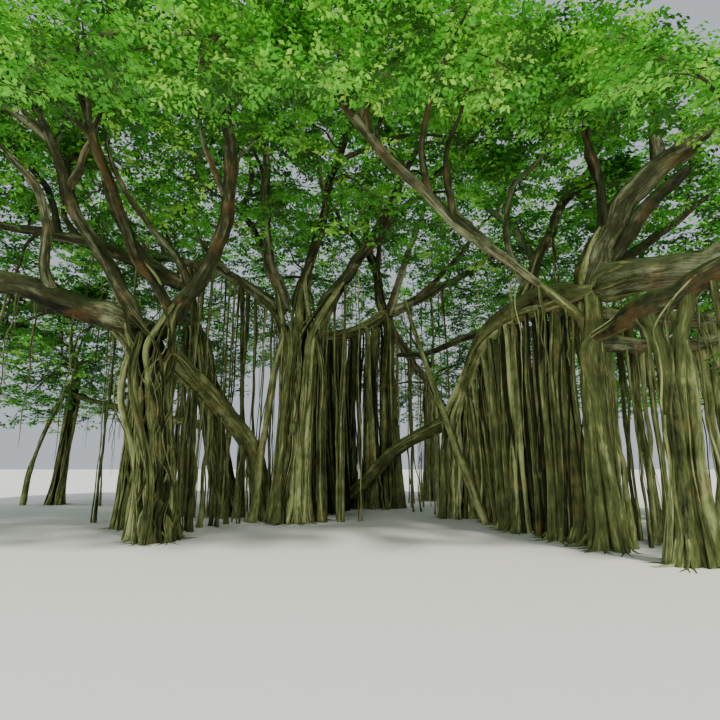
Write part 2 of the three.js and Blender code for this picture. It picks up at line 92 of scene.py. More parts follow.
world = bpy.data.worlds.new("studio")
world.use_nodes = True
world.node_tree.nodes["Background"].inputs["Color"].default_value = (*BACKDROP, 1)
world.node_tree.nodes["Background"].inputs["Strength"].default_value = BACKDROP_STRENGTH
bpy.context.scene.world = world
for name, (azimuth, height, strength, softness, colour) in LAMPS.items():
    lamp = bpy.data.lights.new(name, "SUN")
    lamp.energy = strength
    lamp.angle = math.radians(softness)
    lamp.color = colour
    lit = bpy.data.objects.new(name, lamp)
    lit.rotation_euler = (math.radians(90 - height), 0, math.radians(azimuth))
    bpy.context.collection.objects.link(lit)

eye = bpy.data.cameras.new("eye")
eye.sensor_width = SENSOR
eye.lens = LENS
camera = bpy.data.objects.new("eye", eye)
camera.location = EYE
camera.rotation_euler = (math.radians(90 + TILT_UP), 0, 0)
bpy.context.collection.objects.link(camera)
bpy.context.scene.camera = camera

# Boughs: long tapering limbs of smooth grey bark with a swollen collar, muscle-like ridges and old knots,
# mossy on top. Each springs from a trunk's head or a root screen's rail and ends in the crown.

# Where each springs, where it passes, where its tip is, then its root and tip radius.
BOUGHS = {
    "right_great": ((8.35, -5.95, 6.5), (9.5, -6.4, 8.82), (11.7, -7.3, 10.65), 0.35, 0.13),
    "right_level_upper": ((8.5, -6.1, 6.5), (11.0, -7.85, 6.5), (13.5, -7.1, 7.2), 0.4, 0.13),
    "right_level_lower": ((8.25, -5.95, 5.05), (9.45, -8.05, 5.72), (10.9, -9.1, 6.3), 0.29, 0.12),
    "right_level_rear": ((7.95, -4.7, 6.3), (12.3, -4.7, 6.0), (15.3, -2.2, 7.7), 0.25, 0.1),
    "left_low": ((-3.95, -4.5, 5.9), (-7.5, -5.4, 6.9), (-12.7, -6.3, 7.6), 0.34, 0.11),
    "left_inner": ((-3.55, -4.4, 5.5), (-1.85, -4.25, 8.8), (-1.25, -6.6, 12.5), 0.24, 0.08),
    "left_high": ((-3.95, -4.6, 6.0), (-5.35, -5.1, 8.3), (-6.4, -6.7, 11.5), 0.2, 0.075),
    "left_cross": ((-2.7, -4.18, 7.15), (-6.45, -3.6, 9.0), (-11.0, -2.4, 10.3), 0.18, 0.075),
    "left_front": ((-3.15, -4.3, 6.3), (-4.3, -5.6, 8.7), (-4.1, -8.3, 10.4), 0.16, 0.07),
    "centre_left": ((-0.42, 0, 7.9), (-1.25, -0.15, 10.3), (-1.3, -1.2, 14.7), 0.23, 0.08),
    "centre_west": ((-0.5, 0.1, 7.8), (-3.7, 1.2, 10.05), (-8.9, 3.6, 12.1), 0.21, 0.08),
    "centre_mid": ((-0.15, 0, 7.9), (1.0, -0.8, 11.6), (2.35, -4.2, 14.2), 0.19, 0.075),
    "centre_right": ((0.83, 0, 7.85), (2.65, -0.2, 10.3), (4.8, -0.9, 14.6), 0.23, 0.08),
    "centre_back": ((0.1, 0.2, 7.4), (-0.2, 5.0, 11.6), (-1.3, 10.6, 13.0), 0.2, 0.08),
    "middle_up": ((3.6, 5.29, 9.4), (3.0, 5.6, 12.8), (2.3, 5.3, 16.1), 0.23, 0.08),
    "middle_right": ((3.8, 5.3, 9.4), (7.1, 6.0, 11.3), (9.8, 6.6, 13.3), 0.22, 0.08),
    "middle_back": ((3.62, 5.5, 9.2), (6.55, 10.3, 6.7), (7.0, 13.4, 8.7), 0.22, 0.08),
    "right_long": ((8.25, -5.9, 5.75), (4.75, -6.65, 8.15), (1.3, -8.5, 10.9), 0.15, 0.07),
    "wall_rise": ((7.55, -3.1, 6.8), (9.1, -3.0, 10.2), (10.7, -1.3, 12.3), 0.19, 0.075),
    "wall_back": ((6.56, 0, 5.35), (10.3, 2.8, 7.9), (14.0, 4.6, 9.3), 0.2, 0.08),
    "mid_left": ((-4.5, 1.9, 7.3), (-6.1, 4.8, 9.1), (-8.2, 9.3, 10.4), 0.19, 0.075),
    "left_rear": ((-3.9, -4.1, 5.7), (-5.1, -1.65, 6.68), (-12.9, 2.7, 8.9), 0.21, 0.075),
}
BOUGH_TAPER = (1.35, 0.98, 0.86, 0.74, 0.6, 0)
BOUGH_STEPS = 65
BOUGH_BENDS = 0.13
# How a limb's end closes, in shares of its radius.
ROUNDED = (0.35, 0.62, 0.8, 0.91, 0.97)
# The boughs that start slender, as they run on down the pier as a root.
SLENDER = ("right_level_lower", "right_long")
SLENDER_TAPER = np.linspace(0.3, 1, 24)
# The stem from a bough's tip into its foliage, and the height that none passes.
STEM = 0.95
STEM_END = 0.05
TALLEST = 16.3
UP = np.array([0, 0, 1.0])
# A skin: its sides, the height and closeness of its ridges, the height and size of its knots, and its seed.
SKIN = ("Sides", "Ridge", "Ridges Round", "Knot", "Knot Size", "Seed")
BOUGH_SKIN = (18, 0.26, 1.4, 0.34, 0.5, 3.0)


def lengths_along(line):
    return np.concatenate([[0], np.cumsum(np.linalg.norm(np.diff(line, axis=0), axis=1))])


def smooth_line(points, count):
    """Evenly spaced places on a smooth line through the points, the line that the solids' limbs follow."""
    p = np.array(points, float)
    p = np.vstack([2 * p[0] - p[1], p, 2 * p[-1] - p[-2]])
    t = np.linspace(0, 1, 33)[:-1, None]
    parts = []
    for a, b, c, d in zip(p, p[1:], p[2:], p[3:]):
        before, own, after = (max(np.linalg.norm(v), 1e-6) ** 0.5 for v in (b - a, c - b, d - c))
        leave = ((b - a) / before - (c - a) / (before + own) + (c - b) / own) * own
        reach = ((c - b) / own - (d - b) / (own + after) + (d - c) / after) * own
        bend = 3 * (c - b) - 2 * leave - reach
        parts.append(b + leave * t + bend * t**2 + (2 * (b - c) + leave + reach) * t**3)
    line = np.vstack([*parts, p[-2:-1]])
    far = lengths_along(line)
    at = np.linspace(0, far[-1], count)
    return np.stack([np.interp(at, far, line[:, k]) for k in range(3)], axis=1)


def spaced(values, count):
    """An evenly spaced list of sizes, read at more places."""
    return np.interp(np.linspace(0, 1, count), np.linspace(0, 1, len(values)), values)


def tapered(thick, shares, count, *end):
    """The radius along a limb: shares of its thickness and, where given, the radius at its end."""
    return spaced([*(thick * share for share in shares), *end], count)


def unit(v):
    return v / np.maximum(np.linalg.norm(v, axis=-1, keepdims=True), 1e-9)


def wandering(line, amount, rng):
    """The line with slow sideways bends, none at its ends."""
    t = np.linspace(0, 1, len(line))[:, None]
    bend = np.zeros_like(line)
    for waves in (1.5, 2.6, 4.1):
        bend += np.sin(2 * np.pi * (waves * t + rng.random(3))) * unit(rng.normal(size=3)) / waves
    return line + bend * amount * np.sin(np.pi * t) ** 0.7


def with_stem(line, shape, way, reach, steps):
    """A limb that runs on past its tip, ever thinner."""
    onward = line[-1] + way * np.linspace(0, reach, steps)[1:, None]
    return np.vstack([line, onward]), np.concatenate([shape, spaced([shape[-1], STEM_END], steps)[1:]])


def add_node(tree, kind, inputs=(), out=0, **settings):
    """A new node's output. Its inputs, by place or name, are values or other outputs."""
    made = tree.nodes.new(kind)
    for name, value in settings.items():
        setattr(made, name, value)
    for name, value in dict(inputs).items():
        if isinstance(value, bpy.types.NodeSocket):
            tree.links.new(value, made.inputs[name])
        else:
            made.inputs[name].default_value = value
    return made.outputs[out]


def sums(tree):
    """Adding, taking away and multiplying in a tree."""
    def worked(operation):
        return lambda a, b: add_node(tree, "ShaderNodeMath", {0: a, 1: b}, operation=operation)
    return worked("ADD"), worked("SUBTRACT"), worked("MULTIPLY")


def noise(tree, where, scale, detail, roughness=0.5):
    inputs = {"Vector": where, "Scale": scale, "Detail": detail, "Roughness": roughness}
    return add_node(tree, "ShaderNodeTexNoise", inputs)


def kept_number(tree, name, kind="FLOAT"):
    return add_node(tree, "GeometryNodeInputNamedAttribute", {"Name": name}, data_type=kind)


def keep_number(tree, geometry, name, value, kind="FLOAT"):
    inputs = {"Geometry": geometry, "Name": name, "Value": value}
    return add_node(tree, "GeometryNodeStoreNamedAttribute", inputs, data_type=kind)


def new_tree(name, sockets):
    tree = bpy.data.node_groups.new(name, "GeometryNodeTree")
    tree.interface.new_socket("Geometry", in_out="OUTPUT", socket_type="NodeSocketGeometry")
    for label, kind in {"Geometry": "Geometry", **sockets, "Material": "Material"}.items():
        tree.interface.new_socket(label, in_out="INPUT", socket_type="NodeSocket" + kind)
    return tree, tree.nodes.new("NodeGroupInput").outputs


def end_tree(tree, geometry, material):
    """Instances made real and the material set."""
    real = add_node(tree, "GeometryNodeRealizeInstances", {0: geometry})
    clad = add_node(tree, "GeometryNodeSetMaterial", {"Geometry": real, "Material": material})
    tree.links.new(clad, tree.nodes.new("NodeGroupOutput").inputs[0])
    return tree


def sweep_tree():
    """Sweeps a ring along each line by its girth, then raises long ridges and knots on it."""
    tree, given = new_tree("limb_sweep", {label: "Int" if label == "Sides" else "Float" for label in SKIN})
    plus, minus, times = sums(tree)
    radius, tone, along, around = (kept_number(tree, name) for name in ("girth", "tone", "along", "around"))
    place = tree.nodes.new("GeometryNodeSplineParameter").outputs
    lines = add_node(tree, "GeometryNodeMeshToCurve", {"Mesh": given["Geometry"]})
    lines = keep_number(tree, lines, "along", place["Length"])
    ring = add_node(tree, "GeometryNodeCurvePrimitiveCircle", {"Resolution": given["Sides"], "Radius": 1.0})
    ring = keep_number(tree, ring, "around", place["Factor"])
    swept_by = {"Curve": lines, "Profile Curve": ring, "Scale": radius, "Fill Caps": True}
    skin = add_node(tree, "GeometryNodeCurveToMesh", swept_by)
    turn = times(around, 2 * math.pi)
    across = add_node(tree, "ShaderNodeMath", {0: turn}, operation="COSINE")
    over = add_node(tree, "ShaderNodeMath", {0: turn}, operation="SINE")
    shifted = plus(times(tone, 91.0), given["Seed"])
    close = given["Ridges Round"]
    on_ring = {0: times(across, close), 1: times(over, close), 2: plus(times(along, 0.55), shifted)}
    ridges = noise(tree, add_node(tree, "ShaderNodeCombineXYZ", on_ring), 1.0, 2.0)
    knots_in = add_node(tree, "ShaderNodeMath", {0: 1.0, 1: given["Knot Size"]}, operation="DIVIDE")
    knots = noise(tree, tree.nodes.new("GeometryNodeInputPosition").outputs[0], knots_in, 1.0)
    raised = plus(times(minus(ridges, 0.5), given["Ridge"]), times(minus(knots, 0.5), given["Knot"]))
    outwards = tree.nodes.new("GeometryNodeInputNormal").outputs[0]
    push = {0: outwards, "Scale": times(times(raised, radius), 2.0)}
    push = add_node(tree, "ShaderNodeVectorMath", push, operation="SCALE")
    skin = add_node(tree, "GeometryNodeSetPosition", {"Geometry": skin, "Offset": push})
    # The ridges' height is kept for the bark, which darkens the low grooves from it as painted shade.
    skin = keep_number(tree, skin, "relief", ridges)
    grain = {0: times(across, radius), 1: times(over, radius), 2: plus(along, shifted)}
    grain = add_node(tree, "ShaderNodeCombineXYZ", grain)
    return end_tree(tree, keep_number(tree, skin, "grain", grain, "FLOAT_VECTOR"), given["Material"])


def points_mesh(name, places, numbers):
    """A mesh of loose points, each with its own numbers."""
    mesh = bpy.data.meshes.new(name)
    mesh.vertices.add(len(places))
    mesh.vertices.foreach_set("co", places.astype(np.float32).ravel())
    for label, values in numbers.items():
        kind, field = ("FLOAT", "value") if values.ndim == 1 else ("FLOAT_VECTOR", "vector")
        values = values.astype(np.float32).ravel()
        mesh.attributes.new(label, kind, "POINT").data.foreach_set(field, values)
    return mesh


def line_mesh(name, lines, rng):
    """A mesh of open lines: each is its places, its radius at each place and, if given, its shade value,
    random for most roots and painted shade for some.
    """
    counts = [len(line[0]) for line in lines]
    tones = [line[2] if len(line) > 2 else rng.random() for line in lines]
    numbers = {"girth": np.concatenate([line[1] for line in lines]), "tone": np.repeat(tones, counts)}
    mesh = points_mesh(name, np.concatenate([line[0] for line in lines]), numbers)
    joined = np.ones(sum(counts), bool)
    joined[np.cumsum(counts) - 1] = False
    starts = np.flatnonzero(joined)
    mesh.edges.add(len(starts))
    mesh.edges.foreach_set("vertices", np.stack([starts, starts + 1], axis=1).astype(np.int32).ravel())
    return mesh


def grown(name, source, tree, values):
    """What the tree makes of the source mesh, as a plain mesh that rests flat on the ground."""
    piece = bpy.data.objects.new(name, source)
    bpy.context.collection.objects.link(piece)
    growth = piece.modifiers.new("growth", "NODES")
    growth.node_group = tree
    for item in tree.interface.items_tree:
        if item.in_out == "INPUT" and item.name in values:
            growth[item.identifier] = values[item.name]
    graph = bpy.context.evaluated_depsgraph_get()
    evaluated = piece.evaluated_get(graph)
    mesh = bpy.data.meshes.new_from_object(evaluated, preserve_all_data_layers=True, depsgraph=graph)
    piece.modifiers.clear()
    piece.data = mesh
    places = np.empty(3 * len(mesh.vertices), np.float32)
    mesh.vertices.foreach_get("co", places)
    places[2::3] = np.maximum(places[2::3], 0)
    mesh.vertices.foreach_set("co", places)
    mesh.polygons.foreach_set("use_smooth", np.ones(len(mesh.polygons), bool))
    mesh.update()
    return piece


def swept(name, lines, rng, skin, material):
    """Limbs or roots along the lines, as one piece."""
    return grown(name, line_mesh(name, lines, rng), SWEEP, {**dict(zip(SKIN, skin)), "Material": material})


def bark(name, deep, middle, light, moss, moss_most, rust_most):
    """Bark: streaks along the limb, grooves darkened as painted shade, a shade of its own for each root (near
    black as painted shade on cores and back posts), moss and rusty scars.
    """
    made = bpy.data.materials.new(name)
    made.use_nodes = True
    tree = made.node_tree
    shader = tree.nodes["Principled BSDF"]
    plus, minus, times = sums(tree)
    grain = add_node(tree, "ShaderNodeAttribute", out="Vector", attribute_name="grain")
    relief = add_node(tree, "ShaderNodeAttribute", out="Fac", attribute_name="relief")
    # Each root's shade value: random for most, set deep as painted shade for the trunks' cores and the posts
    # behind the screens.
    tone = add_node(tree, "ShaderNodeAttribute", out="Fac", attribute_name="tone")
    stretched = add_node(tree, "ShaderNodeMapping", {"Vector": grain, "Scale": (1, 1, 0.12)})
    streaks = noise(tree, stretched, 26.0, 5.0, 0.62)
    spots = tree.nodes.new("ShaderNodeTexCoord").outputs["Object"]
    # The relief weighs most: the low grooves are darkened as painted shade.
    shade = plus(times(streaks, 0.42), times(relief, 0.62))
    shade = plus(shade, times(tone, 0.16))
    shade = plus(shade, times(noise(tree, spots, 2.6, 5.0, 0.6), 0.3))
    # The ramp's near-black end is painted shade for the grooves, the trunks' cores and the posts behind the
    # screens.
    ramp = add_node(tree, "ShaderNodeValToRGB", {0: shade})
    stops = ramp.node.color_ramp.elements
    stops[0].position = 0.57
    stops[0].color = (*deep, 1)
    stops[1].position = 0.96
    stops[1].color = (*light, 1)
    stops.new(0.76).color = (*middle, 1)
    normal = tree.nodes.new("ShaderNodeNewGeometry").outputs["Normal"]
    facing_up = add_node(tree, "ShaderNodeSeparateXYZ", {0: normal}, out=2)
    mossy = plus(times(facing_up, 0.45), noise(tree, spots, 4.5, 6.0, 0.7))
    rusty = minus(noise(tree, spots, 1.3, 4.0, 0.55), times(facing_up, 0.1))
    tint = ramp
    layers = ((mossy, 0.58, 0.86, moss_most, moss), (rusty, 0.55, 0.72, rust_most, RUST))
    for where, low, high, most, colour in layers:
        share = add_node(tree, "ShaderNodeMapRange", {0: where, 1: low, 2: high, 3: 0.0, 4: most})
        tint = add_node(tree, "ShaderNodeMix", {0: share, 6: tint, 7: (*colour, 1)}, out=2, data_type="RGBA")
    tree.links.new(tint, shader.inputs["Base Color"])
    rough = add_node(tree, "ShaderNodeMapRange", {0: streaks, 1: 0.3, 2: 0.7, 3: 0.95, 4: 0.7})
    tree.links.new(rough, shader.inputs["Roughness"])
    shader.inputs["Specular IOR Level"].default_value = 0.18
    fine = add_node(tree, "ShaderNodeBump", {"Height": shade, "Strength": 0.8, "Distance": 0.02})
    tree.links.new(fine, shader.inputs["Normal"])
    return made


SWEEP = sweep_tree()
RUST = (0.21, 0.1, 0.035)
GREY_BARK = bark("grey_bough_bark", (0.007, 0.008, 0.002), (0.047, 0.053, 0.02), (0.3, 0.32, 0.18),
                 (0.052, 0.088, 0.02), 0.6, 0.35)
bough_rng = np.random.default_rng(5)
# Every limb that roots run on or leaves keep clear of: its places and its radius at each.
limbs = {}
bough_lines = []
for name, (springs, passes, tip, root_radius, tip_radius) in BOUGHS.items():
    line = wandering(smooth_line([springs, passes, tip], BOUGH_STEPS), BOUGH_BENDS, bough_rng)
    shape = spaced([tip_radius + (root_radius - tip_radius) * share for share in BOUGH_TAPER], BOUGH_STEPS)
    shape[: len(ROUNDED)] *= ROUNDED
    if name in SLENDER:
        shape[: len(SLENDER_TAPER)] *= SLENDER_TAPER
    limbs["bough_" + name] = (line, shape)
    bough_lines.append(with_stem(line, shape, unit(line[-1] - line[-4]), min(STEM, TALLEST - tip[2]), 8))
boughs = swept("boughs", bough_lines, bough_rng, BOUGH_SKIN, GREY_BARK)
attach(boughs, "root")
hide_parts(*limbs)

# Forks: the bare grey limbs that branch off boughs and trunk heads under the crown, of the same wood, each
# grown out of its bough with a swollen collar and lost in the leaves at its end.

# The forks of each bough: their root and tip radius, the step of the bough that they leave, then the
# places that they pass.
FORKS = {
    "left_high": [(0.1, 0.05, 42, (-5.12, -6.2, 10.4), (-4.7, -6.6, 11.5))],
    "left_low": [
        (0.12, 0.055, 17, (-6.25, -5.6, 7.3), (-6.3, -5.7, 8.5), (-6.6, -6, 9.5), (-7.5, -6.4, 10.6)),
        (0.1, 0.05, 31, (-9.4, -5.9, 8), (-10.2, -6.2, 9.6)),
    ],
    "left_cross": [
        (0.1, 0.045, 37, (-7.95, -3.4, 10.7), (-8.5, -3.6, 11.6), (-9.35, -3.8, 12.6)),
        (0.09, 0.045, 32, (-7.4, -3.3, 10), (-7.85, -3.2, 11.5), (-8.4, -3, 13.1)),
        (0.15, 0.06, 2, (-4.3, -3.6, 8.3), (-5.36, -3, 9.4), (-6.4, -2.4, 10.9), (-7.2, -2, 12.6)),
    ],
    "left_inner": [
        (0.1, 0.04, 14, (-3.2, -4.4, 8.2), (-4, -4.6, 9.1), (-4.6, -4.8, 9.9), (-5, -5.1, 10.7),
         (-5.2, -5.5, 11.8)),
        (0.08, 0.04, 38, (-2.05, -5.6, 10.9), (-2.3, -6.2, 12)),
    ],
    "centre_left": [
        (0.12, 0.05, 19, (-2, 0.1, 11.4), (-2.45, 0.2, 12.3), (-2.2, 0.3, 13.7), (-2.4, 0.4, 15.5)),
    ],
    "centre_west": [(0.1, 0.045, 20, (-4.3, 0.9, 11.2), (-4.9, 0.4, 13.4))],
    "centre_mid": [(0.09, 0.045, 33, (0.8, -1.6, 13.4), (0.5, -1.3, 15))],
    "centre_right": [(0.11, 0.045, 17, (3.6, -1.2, 11), (5.4, -2.6, 12.3), (6.9, -3.6, 13.6))],
    "middle_up": [
        (0.12, 0.05, 23, (2.7, 4.8, 12.6), (1.9, 4.6, 13.5), (0.9, 4.3, 15)),
        (0.12, 0.05, 22, (3.7, 5.1, 14.2), (4.3, 4.9, 15.6)),
    ],
    "middle_right": [
        (0.17, 0.055, 0, (4.6, 4.7, 11.6), (5.4, 4, 13.9), (5.8, 3.4, 15.5)),
        (0.12, 0.05, 13, (6.9, 4.4, 11.6), (8.3, 2.6, 13.2)),
    ],
    "wall_rise": [
        (0.1, 0.045, 7, (7.45, -3, 8.9), (7.4, -3, 9.9), (7.65, -3.2, 11.3), (8.3, -3.7, 11.8),
         (8.6, -4.6, 12.6)),
        (0.12, 0.05, 16, (8.4, -1.4, 10.3), (7.6, 0.2, 12.4)),
        (0.15, 0.1, 0, (7.6, -1, 6.95), (6.8, 0.6, 7), (5.35, 3.2, 6.85), (4.2, 5.2, 7.25)),
    ],
    "right_great": [
        (0.12, 0.05, 15, (8.85, -6.4, 9), (8.8, -6.1, 10.1), (9, -5.8, 11.6)),
        (0.15, 0.06, 42, (10.36, -6.7, 11), (10.5, -6.6, 12.1)),
        (0.23, 0.12, 0, (9.1, -6.1, 7.4), (9.9, -6.5, 8.5), (11, -6.9, 9.5)),
        (0.12, 0.05, 7, (9.7, -5.6, 7.5), (11, -5.2, 8.4), (12, -4.9, 9.2), (13.5, -4.6, 10.3)),
    ],
    "right_level_rear": [(0.27, 0.1, 0, (9.7, -4.8, 7.1), (11.25, -4.7, 7.7), (13.4, -4.5, 8.3))],
    "right_level_lower": [(0.2, 0.08, 1, (10, -5.3, 5.1), (11.9, -5, 5.3), (14, -4.7, 6.1))],
    "right_level_upper": [(0.13, 0.05, 22, (11.3, -8.6, 7.3), (12.1, -9.2, 8.4))],
    "right_long": [
        (0.09, 0.04, 21, (5.1, -5.4, 9.3), (5.3, -4.4, 11.4)),
        (0.08, 0.04, 40, (2.9, -6.4, 10.6), (3.2, -5.6, 12.4)),
    ],
}
FORK_STEPS = 33
FORK_BENDS = 0.07
FORK_TAPER = (1.4, 1.02, 0.85)
FORK_END = 0.012
FORK_SKIN = (10, 0.22, 1.2, 0.34, 0.4, 5.0)
fork_lines = []
for bough, rows in FORKS.items():
    parent = limbs["bough_" + bough][0]
    for k, (root_radius, tip_radius, leaves, *points) in enumerate(rows):
        line = wandering(smooth_line([parent[leaves], *points], FORK_STEPS), FORK_BENDS, bough_rng)
        shape = tapered(root_radius, FORK_TAPER, FORK_STEPS, tip_radius)
        limbs[f"fork_{bough}_{k}"] = (line, shape)
        fork_lines.append((line, np.append(shape[:-1], FORK_END)))
forks = swept("forks", fork_lines, bough_rng, FORK_SKIN, GREY_BARK)
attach(forks, "root")
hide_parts(*("foliage_" + bough for bough in BOUGHS))

# Leaning and arching limbs: a fallen-looking trunk that leans from the left trunk to the ground, the low
# arch of the middle, a low bough to the far left and the straight leaning root. Each has roots fused on it.

# The radius of each along its length, the roots on its skin, then the places it passes.
BRIDGES = {
    "trunk_leaning": ((0.36, 0.34, 0.33, 0.43), 5, (
        (-3.35, -3.9, 5.15), (-2.65, -2.1, 4.25), (-1.5, 0.05, 2.35), (-1.1, 0.4, -0.3))),
    "low_bough_left": ((0.21, 0.15, 0.11), 3, ((-3.7, 2.3, 3.5), (-7.5, 5.2, 4.3), (-12.8, 7.3, 5.5))),
    "arch_limb": ((0.3, 0.32, 0.28, 0.27, 0.29, 0.33), 4, (
        (2, 4.85, 0.6), (2.7, 4.4, 1.25), (3.5, 4.15, 2.15), (4.5, 3.5, 2.95), (5.5, 2.3, 3.45),
        (6.3, 1.45, 3.85))),
    "leaning_root": ((0.09, 0.105, 0.12, 0.17), 1, (
        (4.7, 5.42, 10.15), (5.25, 2.9, 6.6), (5.96, 0.2, 2.7), (6.8, -0.75, -0.3))),
}
BRIDGE_STEPS = 49
BRIDGE_SKIN = (14, 0.24, 1.3, 0.26, 0.45, 9.0)
ROOT_BARK = bark("root_bark", (0.009, 0.012, 0.003), (0.1, 0.122, 0.035), (0.41, 0.44, 0.19),
                 (0.07, 0.105, 0.024), 0.35, 0.25)
bridge_rng = np.random.default_rng(11)


def on_skin(line, shape, turn, twist, thick):
    """A root that runs along a limb on its skin and winds round it by the twist, in turns."""
    ways = unit(np.gradient(line, axis=0))
    side = np.array((0.3, -1, 0.2))
    sides = []
    for way in ways:
        side = unit(side - way * side.dot(way))
        sides.append(side)
    over = np.cross(ways, sides)
    angle = 2 * np.pi * (turn + np.linspace(0, twist, len(line)))[:, None]
    return line + (sides * np.cos(angle) + over * np.sin(angle)) * (shape - thick * 0.7)[:, None], thick


for name, (radius, roots, points) in BRIDGES.items():
    line = smooth_line(points, BRIDGE_STEPS)
    shape = spaced(radius, BRIDGE_STEPS)
    limbs[name] = (line, shape)
    lines = [(line, shape * 0.97)]
    for k in range(roots):
        thick = shape * bridge_rng.uniform(0.16, 0.34)
        turn = k / roots + bridge_rng.uniform(-0.1, 0.1)
        lines.append(on_skin(line, shape, turn, bridge_rng.uniform(-0.3, 0.3), thick))
    piece = swept("limb_" + name, lines, bridge_rng, BRIDGE_SKIN, ROOT_BARK)
    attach(piece, "root")
    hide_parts(name)

# Trunks: each a bundle of hanging roots that fused as they thickened, round a core that is darkened as
# painted shade for the gaps between them. Stout roots make the columns and the toes at the foot, thinner
# ones run and cross over them, and at the head all of them run out onto the boughs that they dropped from.

# Foot, head, waist radius, stout roots, flare and crest in waists, twist in turns, how much the roots wind,
# and the strays: side in turns, reach in waists and thickness.
TRUNKS = {
    "trunk_centre": ((0, 0), (0.15, 0, 7.1), 0.69, 12, 1.5, 1.15, 0.06, 0.05, (
        (0.56, 1.75, 0.12), (0.95, 1.5, 0.13), (0.7, 1.55, 0.1))),
    "trunk_left": ((-2.9, -4.44), (-3.64, -4.44, 5.5), 0.48, 9, 1.4, 1.5, 0.16, 0.2, (
        (0.5, 1.6, 0.095), (0.35, 1.7, 0.08), (0.72, 1.35, 0.09))),
    "trunk_left_rear": ((-4.95, -1.9), (-5.0, -1.8, 6.2), 0.37, 8, 1.6, 1.2, 0.1, 0.1, ((0.4, 1.9, 0.08),)),
    "trunk_mid_left": ((-2.75, 2.1), (-4.45, 1.9, 7.2), 0.43, 8, 2.0, 1.0, 0.05, 0.12, ((0.02, 2.6, 0.11),)),
    "trunk_right": ((6.34, 1.35), (6.3, 1.3, 4.1), 0.56, 10, 1.6, 1.05, 0.06, 0.06, ((0.6, 1.7, 0.11),)),
    "pillar_right": ((9.0, -7.7), (9.14, -7.7, 5.26), 0.28, 0, 1.9, 1.2, 0.03, 0.1, ((0.93, 1.55, 0.11),)),
    "trunk_back": ((6.59, 10.5), (6.7, 10.6, 6.3), 0.43, 8, 1.8, 1.2, 0.1, 0.1, ()),
    "trunk_far_left": ((-13.0, 7.3), (-12.7, 7.3, 6.1), 0.28, 6, 2.0, 1.3, 0.1, 0.1, ((0.55, 4.5, 0.09),)),
}
# The pillar's two stems, from the bough down: the places each passes and its radius.
PILLAR_STEMS = (
    ((9.0, -7.5, 5.5), (9.02, -7.7, 4.3), (9.04, -7.74, 2.0), (8.88, -7.75, -0.3), 0.165),
    ((9.45, -8.0, 5.7), (9.35, -7.8, 4.4), (9.27, -7.72, 2.2), (9.3, -7.8, -0.3), 0.14),
)
PILLAR_TAPER = (1.7, 1.15, 1, 0.95, 1, 1.25)
# The screens' rails, the far left trunk's stem into its foliage and the middle left one's long prong: their
# radius along them and the places they pass.
RAILS = {
    "rail_right": ((0.26, 0.29, 0.36, 0.4, 0.2), (
        (6.35, 1.15, 4.2), (6.85, -1.3, 6.3), (7.6, -3.3, 6.8), (8.3, -6.0, 6.45), (8.5, -6.3, 6.45))),
    "rail_middle": ((0.18, 0.2, 0.25, 0.3), (
        (0.5, 0.45, 6.9), (1.2, 3.2, 7.7), (2.3, 4.9, 8.45), (3.62, 5.29, 9.35), (3.7, 5.3, 9.65))),
    "stem_far_left": ((0.22, 0.07), ((-12.7, 7.3, 5.9), (-12.75, 7.35, 6.9), (-13.3, 7.5, 8.3))),
    "prong_mid_left": ((0.21, 0.11), ((-4.42, 1.9, 6.8), (-4.8, 1.85, 8.8), (-5.05, 1.75, 10.5))),
}
RAIL_STEPS = 65
PRONGS = {"trunk_far_left": "stem_far_left", "trunk_mid_left": "prong_mid_left"}
# The cleft in the centre trunk, in turns, and the knot by it.
CLEFT = 0.74
KNOT = ((0.02, -0.68, 2.95), (0.05, -0.74, 3.2), (0.04, -0.66, 3.5))
KNOT_SHAPE = (0.02, 0.12, 0.15, 0.13, 0.02)
# How deep the ends are buried: of the trunks' roots, then of cores, posts and hanging roots.
BURIED = 0.5
SUNK = 0.05
ROOT_STEPS = 56
STRAND_STEPS = 40
CORE_STEPS = 40
KNOT_STEPS = 14
TOE_STEPS = 14
# How far along a bough a root looks to see which way the bough goes.
LOOK_AHEAD = 12
# Where a root's body and thickness are read, in shares of the height, and how thick it is there.
BODY_AT = (0, 0.1, 0.26, 0.55, 0.82, 1)
ROOT_AT = (0, 0.16, 0.5, 0.93)
ROOT_TAPER = (1.6, 1.1, 1, 0.95)
ROOT_WAVES = (0.8, 1.7, 3.1)
ONTO_BOUGH = np.array([0.3, 0.55, 0.8, 1.0])
# How thick stout and thinner roots are in waists, and strands in metres, and how far each kind runs on
# along a bough.
STOUT_THICK, STOUT_RUN = (0.15, 0.25), (1.4, 3.4)
THINNER_THICK, THINNER_RUN = (0.07, 0.14), (1.0, 2.6)
STRAND_THICK, STRAND_RUN = (0.013, 0.034), (0.6, 2.4)
STRAY_TAPER = (1, 0.9, 1.6)
# Toes: how many each root has, how far they turn from it, the height that they leave it at, their radius
# in the root's, and how far they creep on.
TOES = 3
TOE_TURN = 1.1
TOE_FROM = (0.3, 0.8)
TOE_THICK = (0.16, 0.27)
TOE_REACH = (0.08, 0.3)
TOE_TAPER = (0.4, 1, 1, 0.6, 0.3)
CORE_TAPER = (1.35, 1.05, 1, 1, 1.05)
# The cores are near black: painted shade for the gaps between the roots.
CORE_PAINTED_SHADE = -1.6
TRUNK_SKIN = (12, 0.26, 1.1, 0.26, 0.35, 17.0)
STRAND_SKIN = (5, 0.2, 0.8, 0.3, 0.2, 19.0)
trunk_rng = np.random.default_rng(21)
for name, (radius, points) in RAILS.items():
    shape = spaced(radius, RAIL_STEPS)
    shape[-len(ROUNDED):] *= ROUNDED[::-1]
    limbs[name] = (smooth_line(points, RAIL_STEPS), shape)


def apart(a, b):
    return np.linalg.norm(a - b, axis=-1)


